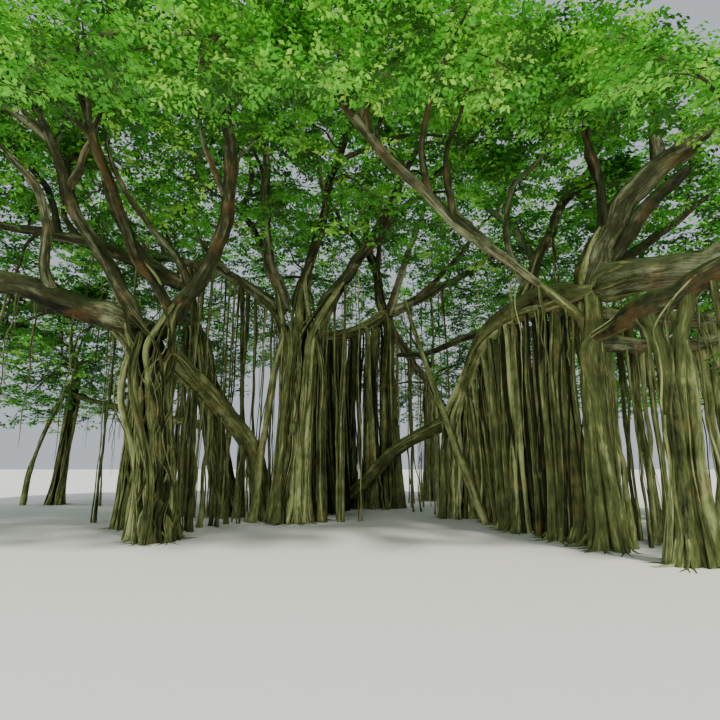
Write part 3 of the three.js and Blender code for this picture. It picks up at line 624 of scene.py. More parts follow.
def ways_out(head, near):
    """The limbs that pass a trunk's head, each as the stretch that leads away from it."""
    found = []
    for name, (line, shape) in limbs.items():
        away = apart(line, head)
        i = away.argmin()
        if name in ("leaning_root", "arch_limb", *TRUNKS) or away[i] > near:
            continue
        for stretch in (slice(i, None), slice(i, None, -1)):
            if len(line[stretch]) > LOOK_AHEAD + 2:
                found.append((line[stretch], shape[stretch]))
    return found


def root_up(spec, side, reach, thick, steps, onto):
    """One root of a trunk from the ground to the head and out along the bough that lies its way."""
    foot, head, waist, flare, crest, twist, winding, outs = spec
    base = np.array([*foot, -BURIED])
    head = np.array(head, float)
    share = np.linspace(BURIED / (head[2] + BURIED), ROOT_AT[-1], 10)
    body = np.interp(share, BODY_AT, (flare, 0.45 + 0.5 * flare, 1.06, 0.95, 1, crest)) * waist
    wave = sum(np.sin(2 * np.pi * (f * share + trunk_rng.random())) / f**0.6 for f in ROOT_WAVES)
    angle = 2 * np.pi * (side + twist * share) + winding * wave * min(0.1 / thick, 2.2)
    places = base + (head - base) * share[:, None]
    round_core = np.stack([np.cos(angle), np.sin(angle), 0 * angle], axis=1)
    places += round_core * (body * reach - thick * 0.8)[:, None]
    size = np.interp(share, ROOT_AT, ROOT_TAPER) * thick
    if outs:
        facing = unit(places[-1] - (base + (head - base) * share[-1]))
        scores = [unit(line[LOOK_AHEAD] - head).dot(facing) + 0.4 * trunk_rng.normal() for line, _ in outs]
        line, shape = outs[int(np.argmax(scores))]
        far = lengths_along(line)
        way = unit(line[LOOK_AHEAD] - line[0])
        lean = unit(facing - way * facing.dot(way) + 0.5 * trunk_rng.normal(size=3))
        at = ONTO_BOUGH * trunk_rng.uniform(*onto) + 0.25
        for k, d in enumerate(at[at < far[-1]]):
            i = int(np.searchsorted(far, d))
            places = np.vstack([places, line[i] + lean * shape[i] * (0.9 - 0.12 * k)])
            size = np.append(size, thick * (0.78 - 0.18 * k))
    size[-1] = min(size[-1], 0.25 * thick)
    return smooth_line(places, steps), spaced(size, steps)


def toes(root, thick, middle):
    """Small roots that leave a root's skin near its foot, run down it and creep out over the ground."""
    made = []
    foot = root[0] * (1, 1, 0)
    out = unit(foot - (*middle, 0))
    for _ in range(TOES):
        turn = trunk_rng.uniform(-TOE_TURN, TOE_TURN)
        turns = (turn, turn + trunk_rng.uniform(-0.5, 0.5))
        down, away = (np.array([out[0] * math.cos(t) - out[1] * math.sin(t),
                                out[0] * math.sin(t) + out[1] * math.cos(t), 0]) for t in turns)
        above = root[int(np.searchsorted(root[:, 2], trunk_rng.uniform(*TOE_FROM)))]
        size = thick * trunk_rng.uniform(*TOE_THICK)
        creep = foot + down * thick * 2.0
        points = [above + down * thick * 0.7, (above + foot) / 2 + down * thick * 1.25]
        points += [creep + UP * size * 0.3, creep + away * trunk_rng.uniform(*TOE_REACH)]
        points.append(creep + away * 0.45 - UP * 0.1)
        made.append((smooth_line(points, TOE_STEPS), tapered(size, TOE_TAPER, TOE_STEPS)))
    return made


strand_lines = []
for name, (foot, head, waist, stout, flare, crest, twist, winding, strays) in TRUNKS.items():
    outs = ways_out(np.array(head), 1.5 * waist + 0.9)
    spec = (foot, head, waist, flare, crest, twist, winding, outs)
    share = np.linspace(0, 1.05, CORE_STEPS)[:, None]
    core = np.array([*foot, -SUNK]) * (1 - share) + np.array(head) * share
    narrow = 0.62 if stout else 0.4
    core_size = tapered(narrow, CORE_TAPER, CORE_STEPS, narrow * crest * 0.9) * waist
    core_size[-len(ROUNDED):] *= ROUNDED[::-1]
    limbs[name] = (core, core_size * 1.6)
    # A stout trunk's core goes in first, darkened as painted shade.
    lines = [(core, core_size, CORE_PAINTED_SHADE)] if stout else []
    for k in range(stout):
        side = (k + trunk_rng.uniform(-0.18, 0.18)) / stout
        if name == "trunk_centre" and abs(side - CLEFT) < 0.5 / stout:
            side += math.copysign(0.5 / stout, side - CLEFT)
        thick = waist * trunk_rng.uniform(*STOUT_THICK)
        root, size = root_up(spec, side, 1, thick, ROOT_STEPS, STOUT_RUN)
        lines.append((root, size, trunk_rng.uniform(0.1, 1.4)))
        lines += toes(root, thick, foot)
    for top, *points, thick in () if stout else PILLAR_STEMS:
        over = limbs["bough_right_level_lower"][0]
        over = over[apart(over, top).argmin()]
        root = smooth_line([*points[::-1], over - UP * 0.3, over], ROOT_STEPS)
        lines.append((root, tapered(thick, PILLAR_TAPER, ROOT_STEPS)))
        for _ in range(2):
            lines += toes(root[root[:, 2] > 0], thick, foot)
    for _ in range(stout + 4):
        thick = waist * trunk_rng.uniform(*THINNER_THICK)
        side = trunk_rng.random()
        reach = trunk_rng.uniform(1.0, 1.08)
        root, size = root_up(spec, side, reach, thick, ROOT_STEPS, THINNER_RUN)
        cut = ROOT_STEPS if stout else int(trunk_rng.uniform(0.2, 0.45) * ROOT_STEPS)
        lines.append((root[:cut], size[:cut], trunk_rng.uniform(-1.0, 1.3)))
    for _ in range(int(14 + 34 * waist) if stout else 7):
        thick = trunk_rng.uniform(*STRAND_THICK)
        side = trunk_rng.random()
        reach = trunk_rng.uniform(1.02, 1.16)
        strand_lines.append(root_up(spec, side, reach, thick, STRAND_STEPS, STRAND_RUN))
    for side, reach, thick in strays:
        away = np.array([math.cos(2 * np.pi * side), math.sin(2 * np.pi * side)])
        steps = ((head, crest * 0.7, head[2]), (head, (reach + crest) / 2, head[2] * 0.75),
                 (foot, reach, head[2] * 0.3), (foot, reach * 1.08 + flare * 0.1, -BURIED))
        line = smooth_line([(*(at[:2] + out * waist * away), z) for at, out, z in steps], ROOT_STEPS)
        keep = line[:, 2] > -0.06
        size = tapered(thick, STRAY_TAPER, ROOT_STEPS)
        lines.append((wandering(line, 0.04, trunk_rng)[keep], size[keep]))
        for _ in range(3):
            nearby = wandering(line + trunk_rng.normal(size=3) * (0.09, 0.09, 0), 0.1, trunk_rng)
            strand_lines.append((nearby[keep], size[keep] * trunk_rng.uniform(0.15, 0.4)))
    if name == "trunk_centre":
        lines.append((smooth_line(KNOT, KNOT_STEPS), spaced(KNOT_SHAPE, KNOT_STEPS)))
    if name in PRONGS:
        lines.append(limbs[PRONGS[name]])
    piece = swept("roots_of_" + name, lines, trunk_rng, TRUNK_SKIN, ROOT_BARK)
    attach(piece, "root")
    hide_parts(name)
strands = swept("root_strands", strand_lines, trunk_rng, STRAND_SKIN, ROOT_BARK)
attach(strands, "root")
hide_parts(*TRUNKS)

# Root screens: a rail limb with a row of hanging roots under it that thickened into straight posts, thin
# ones between them, and a stout pier at the far end. The posts stand on a line on the ground.

# The rail, the line on the ground, the posts, the pier's radius, the posts' radii, how far they stray from
# the line, the seed of the solids' places, and the thin roots between.
SCREENS = {
    "root_wall_right": ("rail_right", ((7.25, 0.3, 0), (7.5, -2.6, 0), (8.35, -5.6, 0)),
                        14, 0.26, (0.11, 0.25), 0.33, 61, 30),
    "root_curtain_middle": ("rail_middle", ((1.05, 2.3, 0), (1.6, 4.3, 0), (2.6, 5.1, 0), (3.9, 5.4, 0)),
                            10, 0.37, (0.1, 0.24), 0.38, 27, 46),
}
# Boughs whose root end runs on down the wall's pier as a root: its foot and its radius.
PIER_ROOTS = {"bough_right_long": ((8.1, -6.02), 0.1), "bough_right_level_lower": ((8.45, -6.2), 0.14)}
PIER_TAPER = (0.9, 1.4, 1.1, 1, 1.1, 1.5)
POST_TAPER = (0.6, 0.95, 1, 1.02, 1.08, 1.6)
POST_STEPS = 40
POST_BENDS_AT = (0.35, 0.7)
# The radius of thin roots, first by a post and then between the posts.
THIN_BY_POST = (0.025, 0.07)
THIN_BETWEEN = (0.012, 0.06)
# The roots that wind along a rail, and their thickness in its radius.
RAIL_ROOTS = 8
RAIL_ROOT_THICK = (0.2, 0.36)
SCREEN_SKIN = (14, 0.24, 1.0, 0.24, 0.4, 29.0)
THIN_SKIN = (6, 0.2, 0.8, 0.3, 0.2, 31.0)
screen_rng = np.random.default_rng(33)


def seeded_draw(seed):
    """Draws that give the posts the places that they have in the solids."""
    state = seed

    def draw():
        nonlocal state
        state = (state + 0x6D2B79F5) & 0xFFFFFFFF
        t = ((state ^ (state >> 15)) * (state | 1)) & 0xFFFFFFFF
        t ^= (t + ((t ^ (t >> 7)) * (t | 61))) & 0xFFFFFFFF
        return ((t ^ (t >> 14)) & 0xFFFFFFFF) / 4294967296

    return draw


def post(rail, shape, share, foot, radius, bend):
    """A root that leaves the rail's side, drops, and thickens to its foot."""
    i = int(round(share * (len(rail) - 1)))
    before = max(i - int(screen_rng.integers(4, 11)), 0)
    aside = screen_rng.normal(size=3) * (0.3, 0.3, 0)
    out = unit(np.array([foot[0] - rail[i][0], foot[1] - rail[i][1], 0]) + aside)
    top = rail[i] + out * shape[i] * 0.72
    fall = np.array([*foot, 0]) - top
    points = [rail[before] + out * shape[before] * 0.6 + UP * 0.12, top]
    points += [top + fall * low + screen_rng.normal(size=3) * (bend, bend, 0) for low in POST_BENDS_AT]
    return smooth_line([*points, (*foot, -SUNK)], POST_STEPS), tapered(radius, POST_TAPER, POST_STEPS)


thin_lines = []
for name, (rail_name, ground, posts, pier, post_radius, spread, seed, thin) in SCREENS.items():
    rail, shape = limbs[rail_name]
    lines = [(rail, shape)]
    draw = seeded_draw(seed)
    feet = smooth_line(ground, 101)
    for k in range(posts + 1):
        last = k == posts
        share = 1 if last else (k + 0.2 + 0.6 * draw()) / (posts + 1)
        foot = feet[int(round(share * 100))][:2].copy()
        if not last:
            foot += (np.array([draw(), draw()]) - 0.5) * (2 * spread, spread)
        radius = pier if last else post_radius[0] + (post_radius[1] - post_radius[0]) * draw() ** 1.5
        share = min(share, 0.97)
        root, size = post(rail, shape, share, foot, radius * 0.72, 0.03)
        lines.append((root, size, 0.4 if last else screen_rng.uniform(0.2, 1.6)))
        # Two thinner posts by each: the one behind is darkened as painted shade (less so behind the pier), so
        # the gaps between the posts read dark; the one in front is not.
        for away, tone in ((0.36, 0.0 if last else -1.3), (-0.3, 0.2)):
            behind = foot + (away, screen_rng.uniform(-0.25, 0.25))
            thinner = radius * screen_rng.uniform(0.3, 0.62)
            lines.append((*post(rail, shape, share, behind, thinner, 0.04), tone))
        lines += toes(root[::-1], radius * 1.2, foot + (0.3, 0.1))
        lines += toes(root[::-1], radius, foot + (0.2, 0.3))
        for _ in range(3):
            nearby = foot + screen_rng.normal(size=2) * radius
            thin_root = post(rail, shape, share, nearby, screen_rng.uniform(*THIN_BY_POST), 0.06)
            thin_lines.append((*thin_root, screen_rng.uniform(-1.3, 1.0)))
    for _ in range(thin):
        share = screen_rng.uniform(0.02, 0.98)
        foot = feet[int(share * 100)][:2] + screen_rng.normal(size=2) * spread * 0.8
        thin_root = post(rail, shape, share, foot, screen_rng.uniform(*THIN_BETWEEN), 0.08)
        thin_lines.append((*thin_root, screen_rng.uniform(-1.5, 0.8)))
    for bough, (foot, radius) in PIER_ROOTS.items() if name == "root_wall_right" else ():
        above = limbs[bough][0]
        fall = np.array([*foot, 0]) - above[0]
        lower = (above[0] + fall * share for share in (0.03, 0.25, 0.6))
        root = smooth_line([above[10], above[4], *lower, (*foot, -SUNK)], POST_STEPS)
        lines.append((root, tapered(radius, PIER_TAPER, POST_STEPS), 0.4))
        lines += toes(root[::-1], radius, rail[-1][:2] + (0, 0.4))
    for k in range(RAIL_ROOTS):
        thick = shape * screen_rng.uniform(*RAIL_ROOT_THICK)
        lines.append(on_skin(rail, shape, k / RAIL_ROOTS, screen_rng.uniform(-0.25, 0.25), thick))
    piece = swept("roots_of_" + name, lines, screen_rng, SCREEN_SKIN, ROOT_BARK)
    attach(piece, "root")
    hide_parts(name)
thin_roots = swept("screen_strands", thin_lines, screen_rng, THIN_SKIN, ROOT_BARK)
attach(thin_roots, "root")
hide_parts(*SCREENS)

# Hanging roots: thin brown roots let down by the boughs, some still swinging free with a fine tip, others
# grown into the ground and thickened. Roots fused along the boughs' collars grew the same way.

# For each limb: how many, from and to which share of it, the share that reaches the ground, and the radius
# that the stoutest of them have.
HANGING = {
    "bough_left_low": (9, 0.16, 0.6, 0.2, 0.05), "bough_left_rear": (11, 0.1, 0.55, 0.6, 0.06),
    "bough_left_cross": (5, 0.1, 0.5, 0, 0.04), "low_bough_left": (16, 0.06, 0.85, 0.6, 0.06),
    "trunk_leaning": (18, 0.06, 0.62, 1, 0.07), "bough_mid_left": (12, 0.08, 0.6, 0.8, 0.08),
    "bough_centre_west": (20, 0.06, 0.55, 0.8, 0.09), "bough_centre_left": (3, 0.02, 0.16, 0.6, 0.04),
    "bough_centre_back": (14, 0.08, 0.6, 0.8, 0.09), "bough_centre_right": (11, 0.03, 0.3, 0.8, 0.06),
    "bough_middle_back": (14, 0.08, 0.8, 0.8, 0.09), "bough_middle_right": (11, 0.06, 0.5, 0.6, 0.06),
    "arch_limb": (9, 0.2, 0.9, 0.7, 0.04), "bough_wall_back": (16, 0.08, 0.6, 0.8, 0.1),
    "bough_right_level_upper": (5, 0.3, 0.8, 0.4, 0.05), "bough_right_level_lower": (4, 0.35, 0.8, 0.5, 0.05),
    "bough_right_level_rear": (20, 0.03, 0.62, 0.9, 0.12),
    "fork_right_level_rear_0": (6, 0.15, 0.8, 0.2, 0.05),
    "fork_right_level_lower_0": (14, 0.08, 0.8, 0.9, 0.11), "bough_right_long": (5, 0.04, 0.4, 0, 0.03),
    "bough_right_great": (3, 0.05, 0.25, 0.3, 0.04), "rail_right": (8, 0.1, 0.95, 0.4, 0.05),
    "rail_middle": (18, 0.05, 0.95, 0.8, 0.07), "bough_wall_rise": (6, 0.05, 0.5, 0.3, 0.05),
}
HANGING_STEPS = 22
GROUNDED_TAPER = (1.3, 0.9, 0.85, 0.9, 1.7)
SWINGING_TAPER = (1.5, 1, 0.9, 0.7, 0.25)
THINNEST = 0.014
# The roots that swing free: the share of the height that they fall, and their radius.
SWINGING_FALL = (0.25, 0.7)
SWINGING_THICK = (0.008, 0.024)
# The roots fused on each collar, the share of the bough that they run along, and their thickness on it.
COLLAR_ROOTS = 7
COLLAR_REACH = (0.14, 0.42)
COLLAR_TAPER = (0.42, 0.3, 0.12)
COLLARED = ("right_great", "right_level_upper", "right_level_lower", "right_level_rear", "right_long",
            "wall_rise", "wall_back", "middle_up", "middle_right", "middle_back")
HANGING_SKIN = (6, 0.2, 0.8, 0.3, 0.2, 37.0)
hanging_rng = np.random.default_rng(57)
hanging_lines = []
for name, (count, first, last, grounded, stoutest) in HANGING.items():
    line, shape = limbs[name]
    for k in range(count):
        i = int((first + (last - first) * (k + hanging_rng.random()) / count) * (len(line) - 1))
        start = line[i] + hanging_rng.normal(size=3) * shape[i] * (0.35, 0.35, 0) - UP * shape[i] * 0.6
        down = hanging_rng.random() < grounded
        end = start * (1, 1, 0) - UP * SUNK
        if not down:
            end = start - UP * hanging_rng.uniform(*SWINGING_FALL) * start[2]
        end = end + hanging_rng.normal(size=3) * (0.16, 0.16, 0)
        taper = spaced(GROUNDED_TAPER if down else SWINGING_TAPER, HANGING_STEPS)
        if down:
            thick = THINNEST + (stoutest - THINNEST) * hanging_rng.random() ** 1.6
        else:
            thick = hanging_rng.uniform(*SWINGING_THICK)
        for _ in range(int(hanging_rng.integers(1, 4))):
            nearby = hanging_rng.normal(size=3) * (0.03, 0.03, 0)
            hung = wandering(np.linspace(start, end, HANGING_STEPS) + nearby, 0.08, hanging_rng)
            hanging_lines.append((hung, taper * thick))
            thick *= hanging_rng.uniform(0.4, 0.8)
for name in COLLARED:
    line, shape = limbs["bough_" + name]
    for k in range(COLLAR_ROOTS):
        reach = int(hanging_rng.uniform(*COLLAR_REACH) * len(line))
        thick = spaced(COLLAR_TAPER, reach) * shape[:reach] * hanging_rng.uniform(0.5, 1)
        turn = (k + hanging_rng.uniform(-0.3, 0.3)) / COLLAR_ROOTS
        twist = hanging_rng.uniform(-0.2, 0.2)
        hanging_lines.append(on_skin(line[:reach], shape[:reach] * 1.04, turn, twist, thick))
hanging = swept("hanging_roots", hanging_lines, hanging_rng, HANGING_SKIN, ROOT_BARK)
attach(hanging, "root")
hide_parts(*("bough_" + bough for bough in BOUGHS))

# Branches and twigs: each bough forks on through its own part of the crown. First branches leave bough and
# stem by the golden angle, each forks on to the nearest part it has not filled, and every twig ends in a
# spray of leaves. All of them stay under the crown's dome and in the space of their own bough.
CROWN_CENTRE = (0.5, 1.7)
CROWN_HALF = (17.6, 14.4)
CROWN_CORNER = 2.6
CROWN_FOOT = 4.6
CROWN_RISE = 13.0
RIM_DROOP = 1.3
# How much the crown's underside lifts over the open front at each distance, and between which sides.
LIFT_FORWARD = (0, 3.0, 5.5, 9.0, 12.7)
LIFT = (0, 3.0, 6.5, 5.2, 2.9)
LIFT_SIDE = (-13.0, -9.0, 9.5, 11.5)
LUMPS = 0.9
CELL_MARGIN = 0.03
# The room that a spray keeps from the crown's skin, from the solids' box and from limbs.
SPRAY_ROOM = 0.42
SPRAY_OVER = 0.2
SPRAY_CLEAR = 0.3
SPRAY_STRAY = 0.1
SPRAYS = 11000
TRIALS = 14000
REACH = 5.8
THICK_CROWN = 2.4
OUTER_LAYER = 4.0
INNER_SHARE = 0.45
FIRST_BRANCHES = 8
FIRST_REACH = 2.4
# The share of a bough that is bare, before the first branches of its foliage.
BARE = 0.42
BARE_LONGER = {"right_level_lower": 0.85}
BARE_FORK = 12
GOLDEN_ANGLE = math.pi * (3 - math.sqrt(5))
PITCH = (-0.35, 0.75)
# For first branches, second ones and twigs: how far short of their target they leave, how soon they turn to
# it, how far they run past it, and their steps.
FIRST_WAY = (0.55, 0.7, 0.8, 14)
SECOND_WAY = (0.5, 1, 0, 6)
TWIG_WAY = (0.4, 2, 0, 3)
FIRST_BENDS = 0.14
# A branch's radius grows with the sprays that it feeds, by a factor and a power, up to a share of its
# parent's.
FIRST_GIRTH = (0.011, 0.46, 0.75)
SECOND_GIRTH = (0.009, 0.4, 0.7)
FIRST_TAPER = (1.3, 1, 0.8, 0.5)
SECOND_TAPER = (1, 0.7)
SPRAYS_ON_SECOND = 6.5
TWIG_SHAPE = np.array([0.0085, 0.007, 0.004])
BRANCH_SKIN = (6, 0.1, 1.0, 0.2, 0.4, 41.0)
TWIG_SKIN = (3, 0.0, 1.0, 0.0, 1.0, 43.0)
TWIG_BARK = bark("twig_bark", (0.05, 0.04, 0.016), (0.15, 0.14, 0.07), (0.3, 0.3, 0.15),
                 (0.14, 0.2, 0.07), 0.3, 0.2)
crown_rng = np.random.default_rng(101)


def depth_in_crown(p):
    """How far each place lies under the dome, and over the crown's underside, whichever is less."""
    across, along = np.abs(p[:, :2] - CROWN_CENTRE).T / np.array(CROWN_HALF)[:, None]
    share = across**CROWN_CORNER + along**CROWN_CORNER
    top = CROWN_FOOT + CROWN_RISE * np.sqrt(np.maximum(1 - share, 0))
    beside = np.clip((p[:, 0] - LIFT_SIDE[0]) / (LIFT_SIDE[1] - LIFT_SIDE[0]), 0, 1)
    beside *= np.clip((LIFT_SIDE[3] - p[:, 0]) / (LIFT_SIDE[3] - LIFT_SIDE[2]), 0, 1)
    low = CROWN_FOOT - RIM_DROOP * share + np.interp(-p[:, 1], LIFT_FORWARD, LIFT) * beside
    lumpy = np.sin(1.1 * p[:, 0] + 0.5 * p[:, 1]) * np.sin(0.9 * p[:, 1] - 0.6 * p[:, 0] + 0.8 * p[:, 2])
    top -= LUMPS * (0.5 + 0.5 * lumpy)
    return np.where(share < 1, np.minimum(top - p[:, 2], p[:, 2] - low), -1), top, top - low


def clear_of_limbs(p, room):
    keep = np.ones(len(p), bool)
    for line, shape in limbs.values():
        reach = shape.max() + room
        near = np.flatnonzero(((p > line.min(axis=0) - reach) & (p < line.max(axis=0) + reach)).all(axis=1))
        for place, radius in zip(line[::3], shape[::3]):
            keep[near] &= apart(p[near], place) > radius + room
    return keep


def grouped(p, seeds):
    """Shares the places out to the nearest of a few middles, which settle as they are shared."""
    middles = np.array(seeds, float)
    for _ in range(5):
        own = apart(p[:, None], middles).argmin(axis=1)
        for k in range(len(middles)):
            if (own == k).any():
                middles[k] = p[own == k].mean(axis=0)
    return own, middles


def branched(parent, target, back, pull, past, steps):
    """A branch that leaves its parent short of the target, bends to it and rises a little on the way."""
    away = apart(parent, target)
    i = int(away.argmin())
    step = np.linalg.norm(parent[1] - parent[0])
    i = min(max(i - int(back * away[i] / max(step, 1e-6)), 1), len(parent) - 2)
    start = parent[i]
    end = target + unit(target - start) * past
    way = unit(unit(parent[i + 1] - start) + pull * unit(end - start))
    far = np.linalg.norm(end - start)
    control = start + way * far * 0.38 + UP * far * 0.06
    t = np.linspace(0, 1, steps)[:, None]
    return i, (1 - t) ** 2 * start + 2 * t * (1 - t) * control + t**2 * end


def girth_for(sprays, parent_radius, factor, power, most):
    return min(factor * sprays**power, parent_radius * most)


# Each mass of foliage: its name, its bough, the way that the bough ends and the middle of the mass.
masses = []
for name in BOUGHS:
    line, shape = limbs["bough_" + name]
    way = unit(line[-1] - line[-4])
    masses.append((name, line, shape, way, line[-1] + way * STEM * 0.9))
line, shape = limbs["stem_far_left"]
masses.append(("far_left", line, shape, unit(line[-1] - line[-9]), line[-1]))
centres = np.array([mass[-1] for mass in masses])
low_corner = np.array(solid_box[0]) + SPRAY_OVER
high_corner = np.array(solid_box[1]) - SPRAY_OVER
candidates = []
for k in range(len(masses)):
    p = centres[k] + crown_rng.uniform(-REACH, REACH, (TRIALS, 3))
    away = apart(p[:, None], centres)
    own = away[:, k].copy()
    away[:, k] = np.inf
    depth, top, thickness = depth_in_crown(p)
    keep = (own < REACH) & (away.min(axis=1) - own > 2 * CELL_MARGIN) & (depth > SPRAY_ROOM)
    keep &= ((p > low_corner) & (p < high_corner)).all(axis=1)
    likely = np.minimum(THICK_CROWN / thickness, 1) * np.where(top - p[:, 2] < OUTER_LAYER, 1, INNER_SHARE)
    keep &= crown_rng.random(len(p)) < likely
    p = p[keep]
    candidates.append(p[clear_of_limbs(p, SPRAY_CLEAR)])
share_of_sprays = SPRAYS / sum(len(p) for p in candidates)
spray_at, spray_way, branch_lines, twig_lines = [], [], [], []
for (name, line, shape, way, _), p in zip(masses, candidates):
    chosen = [0]
    away = apart(p, p[0])
    for _ in range(int(round(len(p) * share_of_sprays)) - 1):
        chosen.append(int(away.argmax()))
        away = np.minimum(away, apart(p, p[chosen[-1]]))
    p = p[chosen] + crown_rng.normal(size=(len(chosen), 3)) * SPRAY_STRAY
    bare = int(len(line) * BARE_LONGER.get(name, BARE))
    parents = [with_stem(line[bare:], shape[bare:], way, STEM, 9)]
    for k in range(len(FORKS.get(name, ()))):
        fork, girth = limbs[f"fork_{name}_{k}"]
        parents.append((fork[BARE_FORK:], girth[BARE_FORK:]))
    seeds = []
    for k in range(FIRST_BRANCHES):
        turn = GOLDEN_ANGLE * k + crown_rng.random()
        rise = math.tan(PITCH[0] + (PITCH[1] - PITCH[0]) * k / (FIRST_BRANCHES - 1))
        out = unit(np.array([math.cos(turn), math.sin(turn), rise]))
        seeds.append(line[-1] + way * STEM * 0.6 + out * FIRST_REACH)
    seeds += [fork[-1] for fork, _ in parents[1:]]
    own, middles = grouped(p, seeds)
    for k in range(len(seeds)):
        group = p[own == k]
        if len(group) < 3:
            continue
        parent, parent_size = min(parents, key=lambda limb: apart(limb[0], middles[k]).min())
        i, first = branched(parent, middles[k], *FIRST_WAY)
        first = wandering(first, FIRST_BENDS, crown_rng)
        size = girth_for(len(group), parent_size[i], *FIRST_GIRTH)
        branch_lines.append((first, tapered(size, FIRST_TAPER, len(first), 0.012)))
        count = max(int(round(len(group) / SPRAYS_ON_SECOND)), 1)
        inner_own, inner = grouped(group, group[crown_rng.choice(len(group), count, replace=False)])
        for j in range(count):
            tips = group[inner_own == j]
            if not len(tips):
                continue
            second = branched(first, inner[j], *SECOND_WAY)[1]
            thick = girth_for(len(tips), size, *SECOND_GIRTH)
            branch_lines.append((second, tapered(thick, SECOND_TAPER, len(second), 0.008)))
            for target in tips:
                third = branched(second, target, *TWIG_WAY)[1]
                twig_lines.append((third, TWIG_SHAPE))
                spray_at.append(target)
                spray_way.append(unit(target - third[1]))
spray_at, spray_way = np.array(spray_at), np.array(spray_way)

foliage_nodes = ["foliage_" + mass[0] for mass in masses]
branches = swept("branches", branch_lines, crown_rng, BRANCH_SKIN, GREY_BARK)
twigs = swept("twigs", twig_lines, crown_rng, TWIG_SKIN, TWIG_BARK)
for piece in (branches, twigs):
    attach(piece, "root")
    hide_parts(*foliage_nodes)

# Leaves: leathery pointed ovals, folded at the rib, set by turns along short shoots. Each spray of four
# shoots is one shade of green, dealt partly at random and partly as painted light and shade. Sprays near
# each other are of like shade, in painted sunlit and shaded patches of a step or two across, and the
# crown's upper sprays are mostly the yellower ones, as painted sunlight.
SHOOTS = 4
LEAVES_ON_SHOOT = 9
SHOOT_SPREAD = (0.0, 0.95, -0.95, 2.7)
SHOOT_LENGTH = (0.34, 0.66)
LEAF_LENGTH = (0.15, 0.23)
# Leaves are smaller over the open front: from and to which y, and by how much.
FRONT_FROM = (-10.0, -3.0)
FRONT_SIZE = (0.72, 1.0)
LEAF_FOLD = ((0, 0, 0), (0.27, 0.46, 0.06), (0, 1, -0.05), (-0.27, 0.46, 0.06))
LEAF_ANGLE = 0.95
LEAF_ROOM = (0.05, 0.03)
# Painted light and shade: the waves of the sunlit and shaded patches, and how much the height under the
# crown's top, the patches and chance count in each spray's green.
SUN_AND_SHADE_WAVES = ((1.5, 0.8, 0.9), (-0.8, 1.4, 1.2))
SHARE_OF_SUNLIT_TOP, SHARE_OF_SUN_AND_SHADE, SHARE_OF_CHANCE = 0.15, 0.35, 0.5
# Five plain greens and their shares of the sprays; the sunniest sprays take the yellow and bright ones as
# painted sunlight, and the least sunny take the deep one as painted shade.
GREENS = {
    "leaves_deep": ((0.03, 0.13, 0.01), 0.2),
    "leaves_green": ((0.058, 0.27, 0.02), 0.23),
    "leaves_fresh": ((0.1, 0.43, 0.034), 0.23),
    "leaves_bright": ((0.2, 0.62, 0.06), 0.21),
    "leaves_yellow": ((0.36, 0.76, 0.09), 0.13),
}
leaf_rng = np.random.default_rng(202)
leaf_mesh = bpy.data.meshes.new("leaf")
leaf_mesh.from_pydata(LEAF_FOLD, [], [(0, 1, 2), (0, 2, 3)])
leaf_shape = bpy.data.objects.new("leaf_shape", leaf_mesh)


def leaf_tree():
    """Sets a leaf on every point, turned and sized by the point's own numbers."""
    tree, given = new_tree("leaf_sprays", {"Leaf": "Object"})
    turned = add_node(tree, "FunctionNodeEulerToRotation", {0: kept_number(tree, "turn", "FLOAT_VECTOR")})
    shape = add_node(tree, "GeometryNodeObjectInfo", {"Object": given["Leaf"]}, out="Geometry")
    sized = kept_number(tree, "size")
    set_by = {"Points": given["Geometry"], "Instance": shape, "Rotation": turned, "Scale": sized}
    return end_tree(tree, add_node(tree, "GeometryNodeInstanceOnPoints", set_by), given["Material"])


def ways(azimuth, pitch):
    flat = np.cos(pitch)
    return np.stack([np.cos(azimuth) * flat, np.sin(azimuth) * flat, np.sin(pitch)], axis=-1)


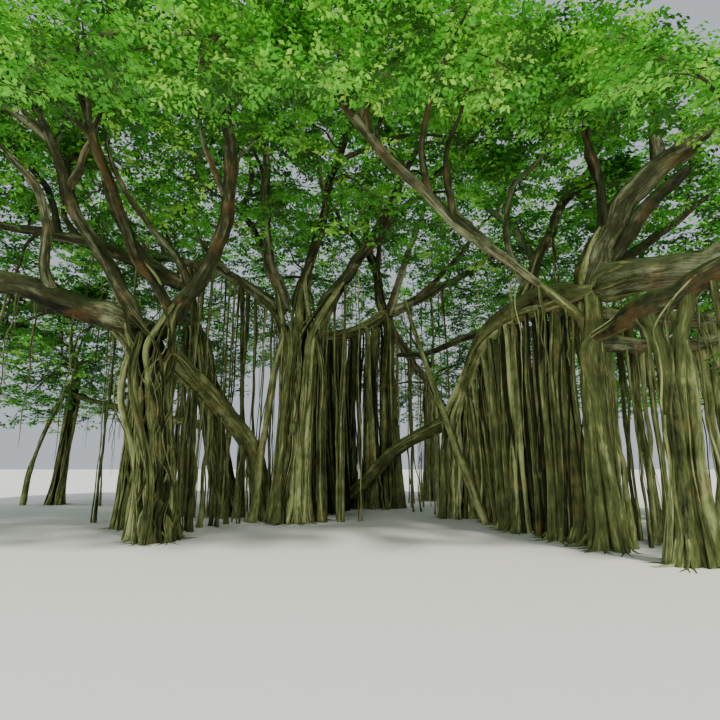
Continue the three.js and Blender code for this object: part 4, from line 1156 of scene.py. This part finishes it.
LEAF_SPRAYS = leaf_tree()
count = len(spray_at)
start = np.arctan2(spray_way[:, 1], spray_way[:, 0])
azimuth = start[:, None] + np.array(SHOOT_SPREAD) + leaf_rng.uniform(-0.45, 0.45, (count, SHOOTS))
pitch = leaf_rng.uniform(-0.55, 0.6, (count, SHOOTS))
length = leaf_rng.uniform(*SHOOT_LENGTH, (count, SHOOTS))
along = np.linspace(0.08, 1, LEAVES_ON_SHOOT)
sprung = leaf_rng.normal(size=(count, SHOOTS, 1, 3)) * 0.07
sprung = sprung - spray_way[:, None, None] * leaf_rng.uniform(0, 0.3, (count, SHOOTS, 1, 1))
base = spray_at[:, None, None] + sprung
base = base + ways(azimuth, pitch)[:, :, None] * (length[..., None] * along)[..., None]
hand = np.where(np.arange(LEAVES_ON_SHOOT) % 2, 1.0, -1.0) * LEAF_ANGLE
hand[-1] = 0
yaw = azimuth[..., None] + hand + leaf_rng.uniform(-0.45, 0.45, base.shape[:3])
nod = -0.3 + leaf_rng.uniform(-0.5, 0.5, base.shape[:3])
roll = leaf_rng.uniform(-0.7, 0.7, base.shape[:3])
size = leaf_rng.uniform(*LEAF_LENGTH, base.shape[:3])
size *= np.interp(spray_at[:, 1], FRONT_FROM, FRONT_SIZE)[:, None, None]
turns = np.stack([nod, roll, yaw - math.pi / 2], axis=-1)
ends = base + ways(yaw, nod) * size[..., None]
# Painted light and shade: sprays near the crown's top and in the sunlit patches rank sunnier; half of the
# rank is chance.
patch = np.prod([np.sin(spray_at @ np.array(wave) + k) for k, wave in enumerate(SUN_AND_SHADE_WAVES)], axis=0)
under_top = depth_in_crown(spray_at)[1] - spray_at[:, 2]
sunny = np.clip(1 - under_top / 7, 0, 1) * SHARE_OF_SUNLIT_TOP
sunny += (0.5 + 0.5 * patch) * SHARE_OF_SUN_AND_SHADE + leaf_rng.random(count) * SHARE_OF_CHANCE
rank = sunny.argsort().argsort() / count
first_share = 0.0
for name, (green, share) in GREENS.items():
    chosen = (rank >= first_share) & (rank < first_share + share)
    first_share += share
    places = base[chosen].reshape(-1, 3)
    keep = depth_in_crown(ends[chosen].reshape(-1, 3))[0] > LEAF_ROOM[0]
    keep &= clear_of_limbs(places, LEAF_ROOM[1])
    numbers = {"turn": turns[chosen].reshape(-1, 3)[keep], "size": size[chosen].ravel()[keep]}
    growth = {"Leaf": leaf_shape, "Material": plain(name, green, 0.5, 0.25)}
    piece = grown(name, points_mesh(name, places[keep], numbers), LEAF_SPRAYS, growth)
    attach(piece, "root")
    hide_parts(*foliage_nodes)
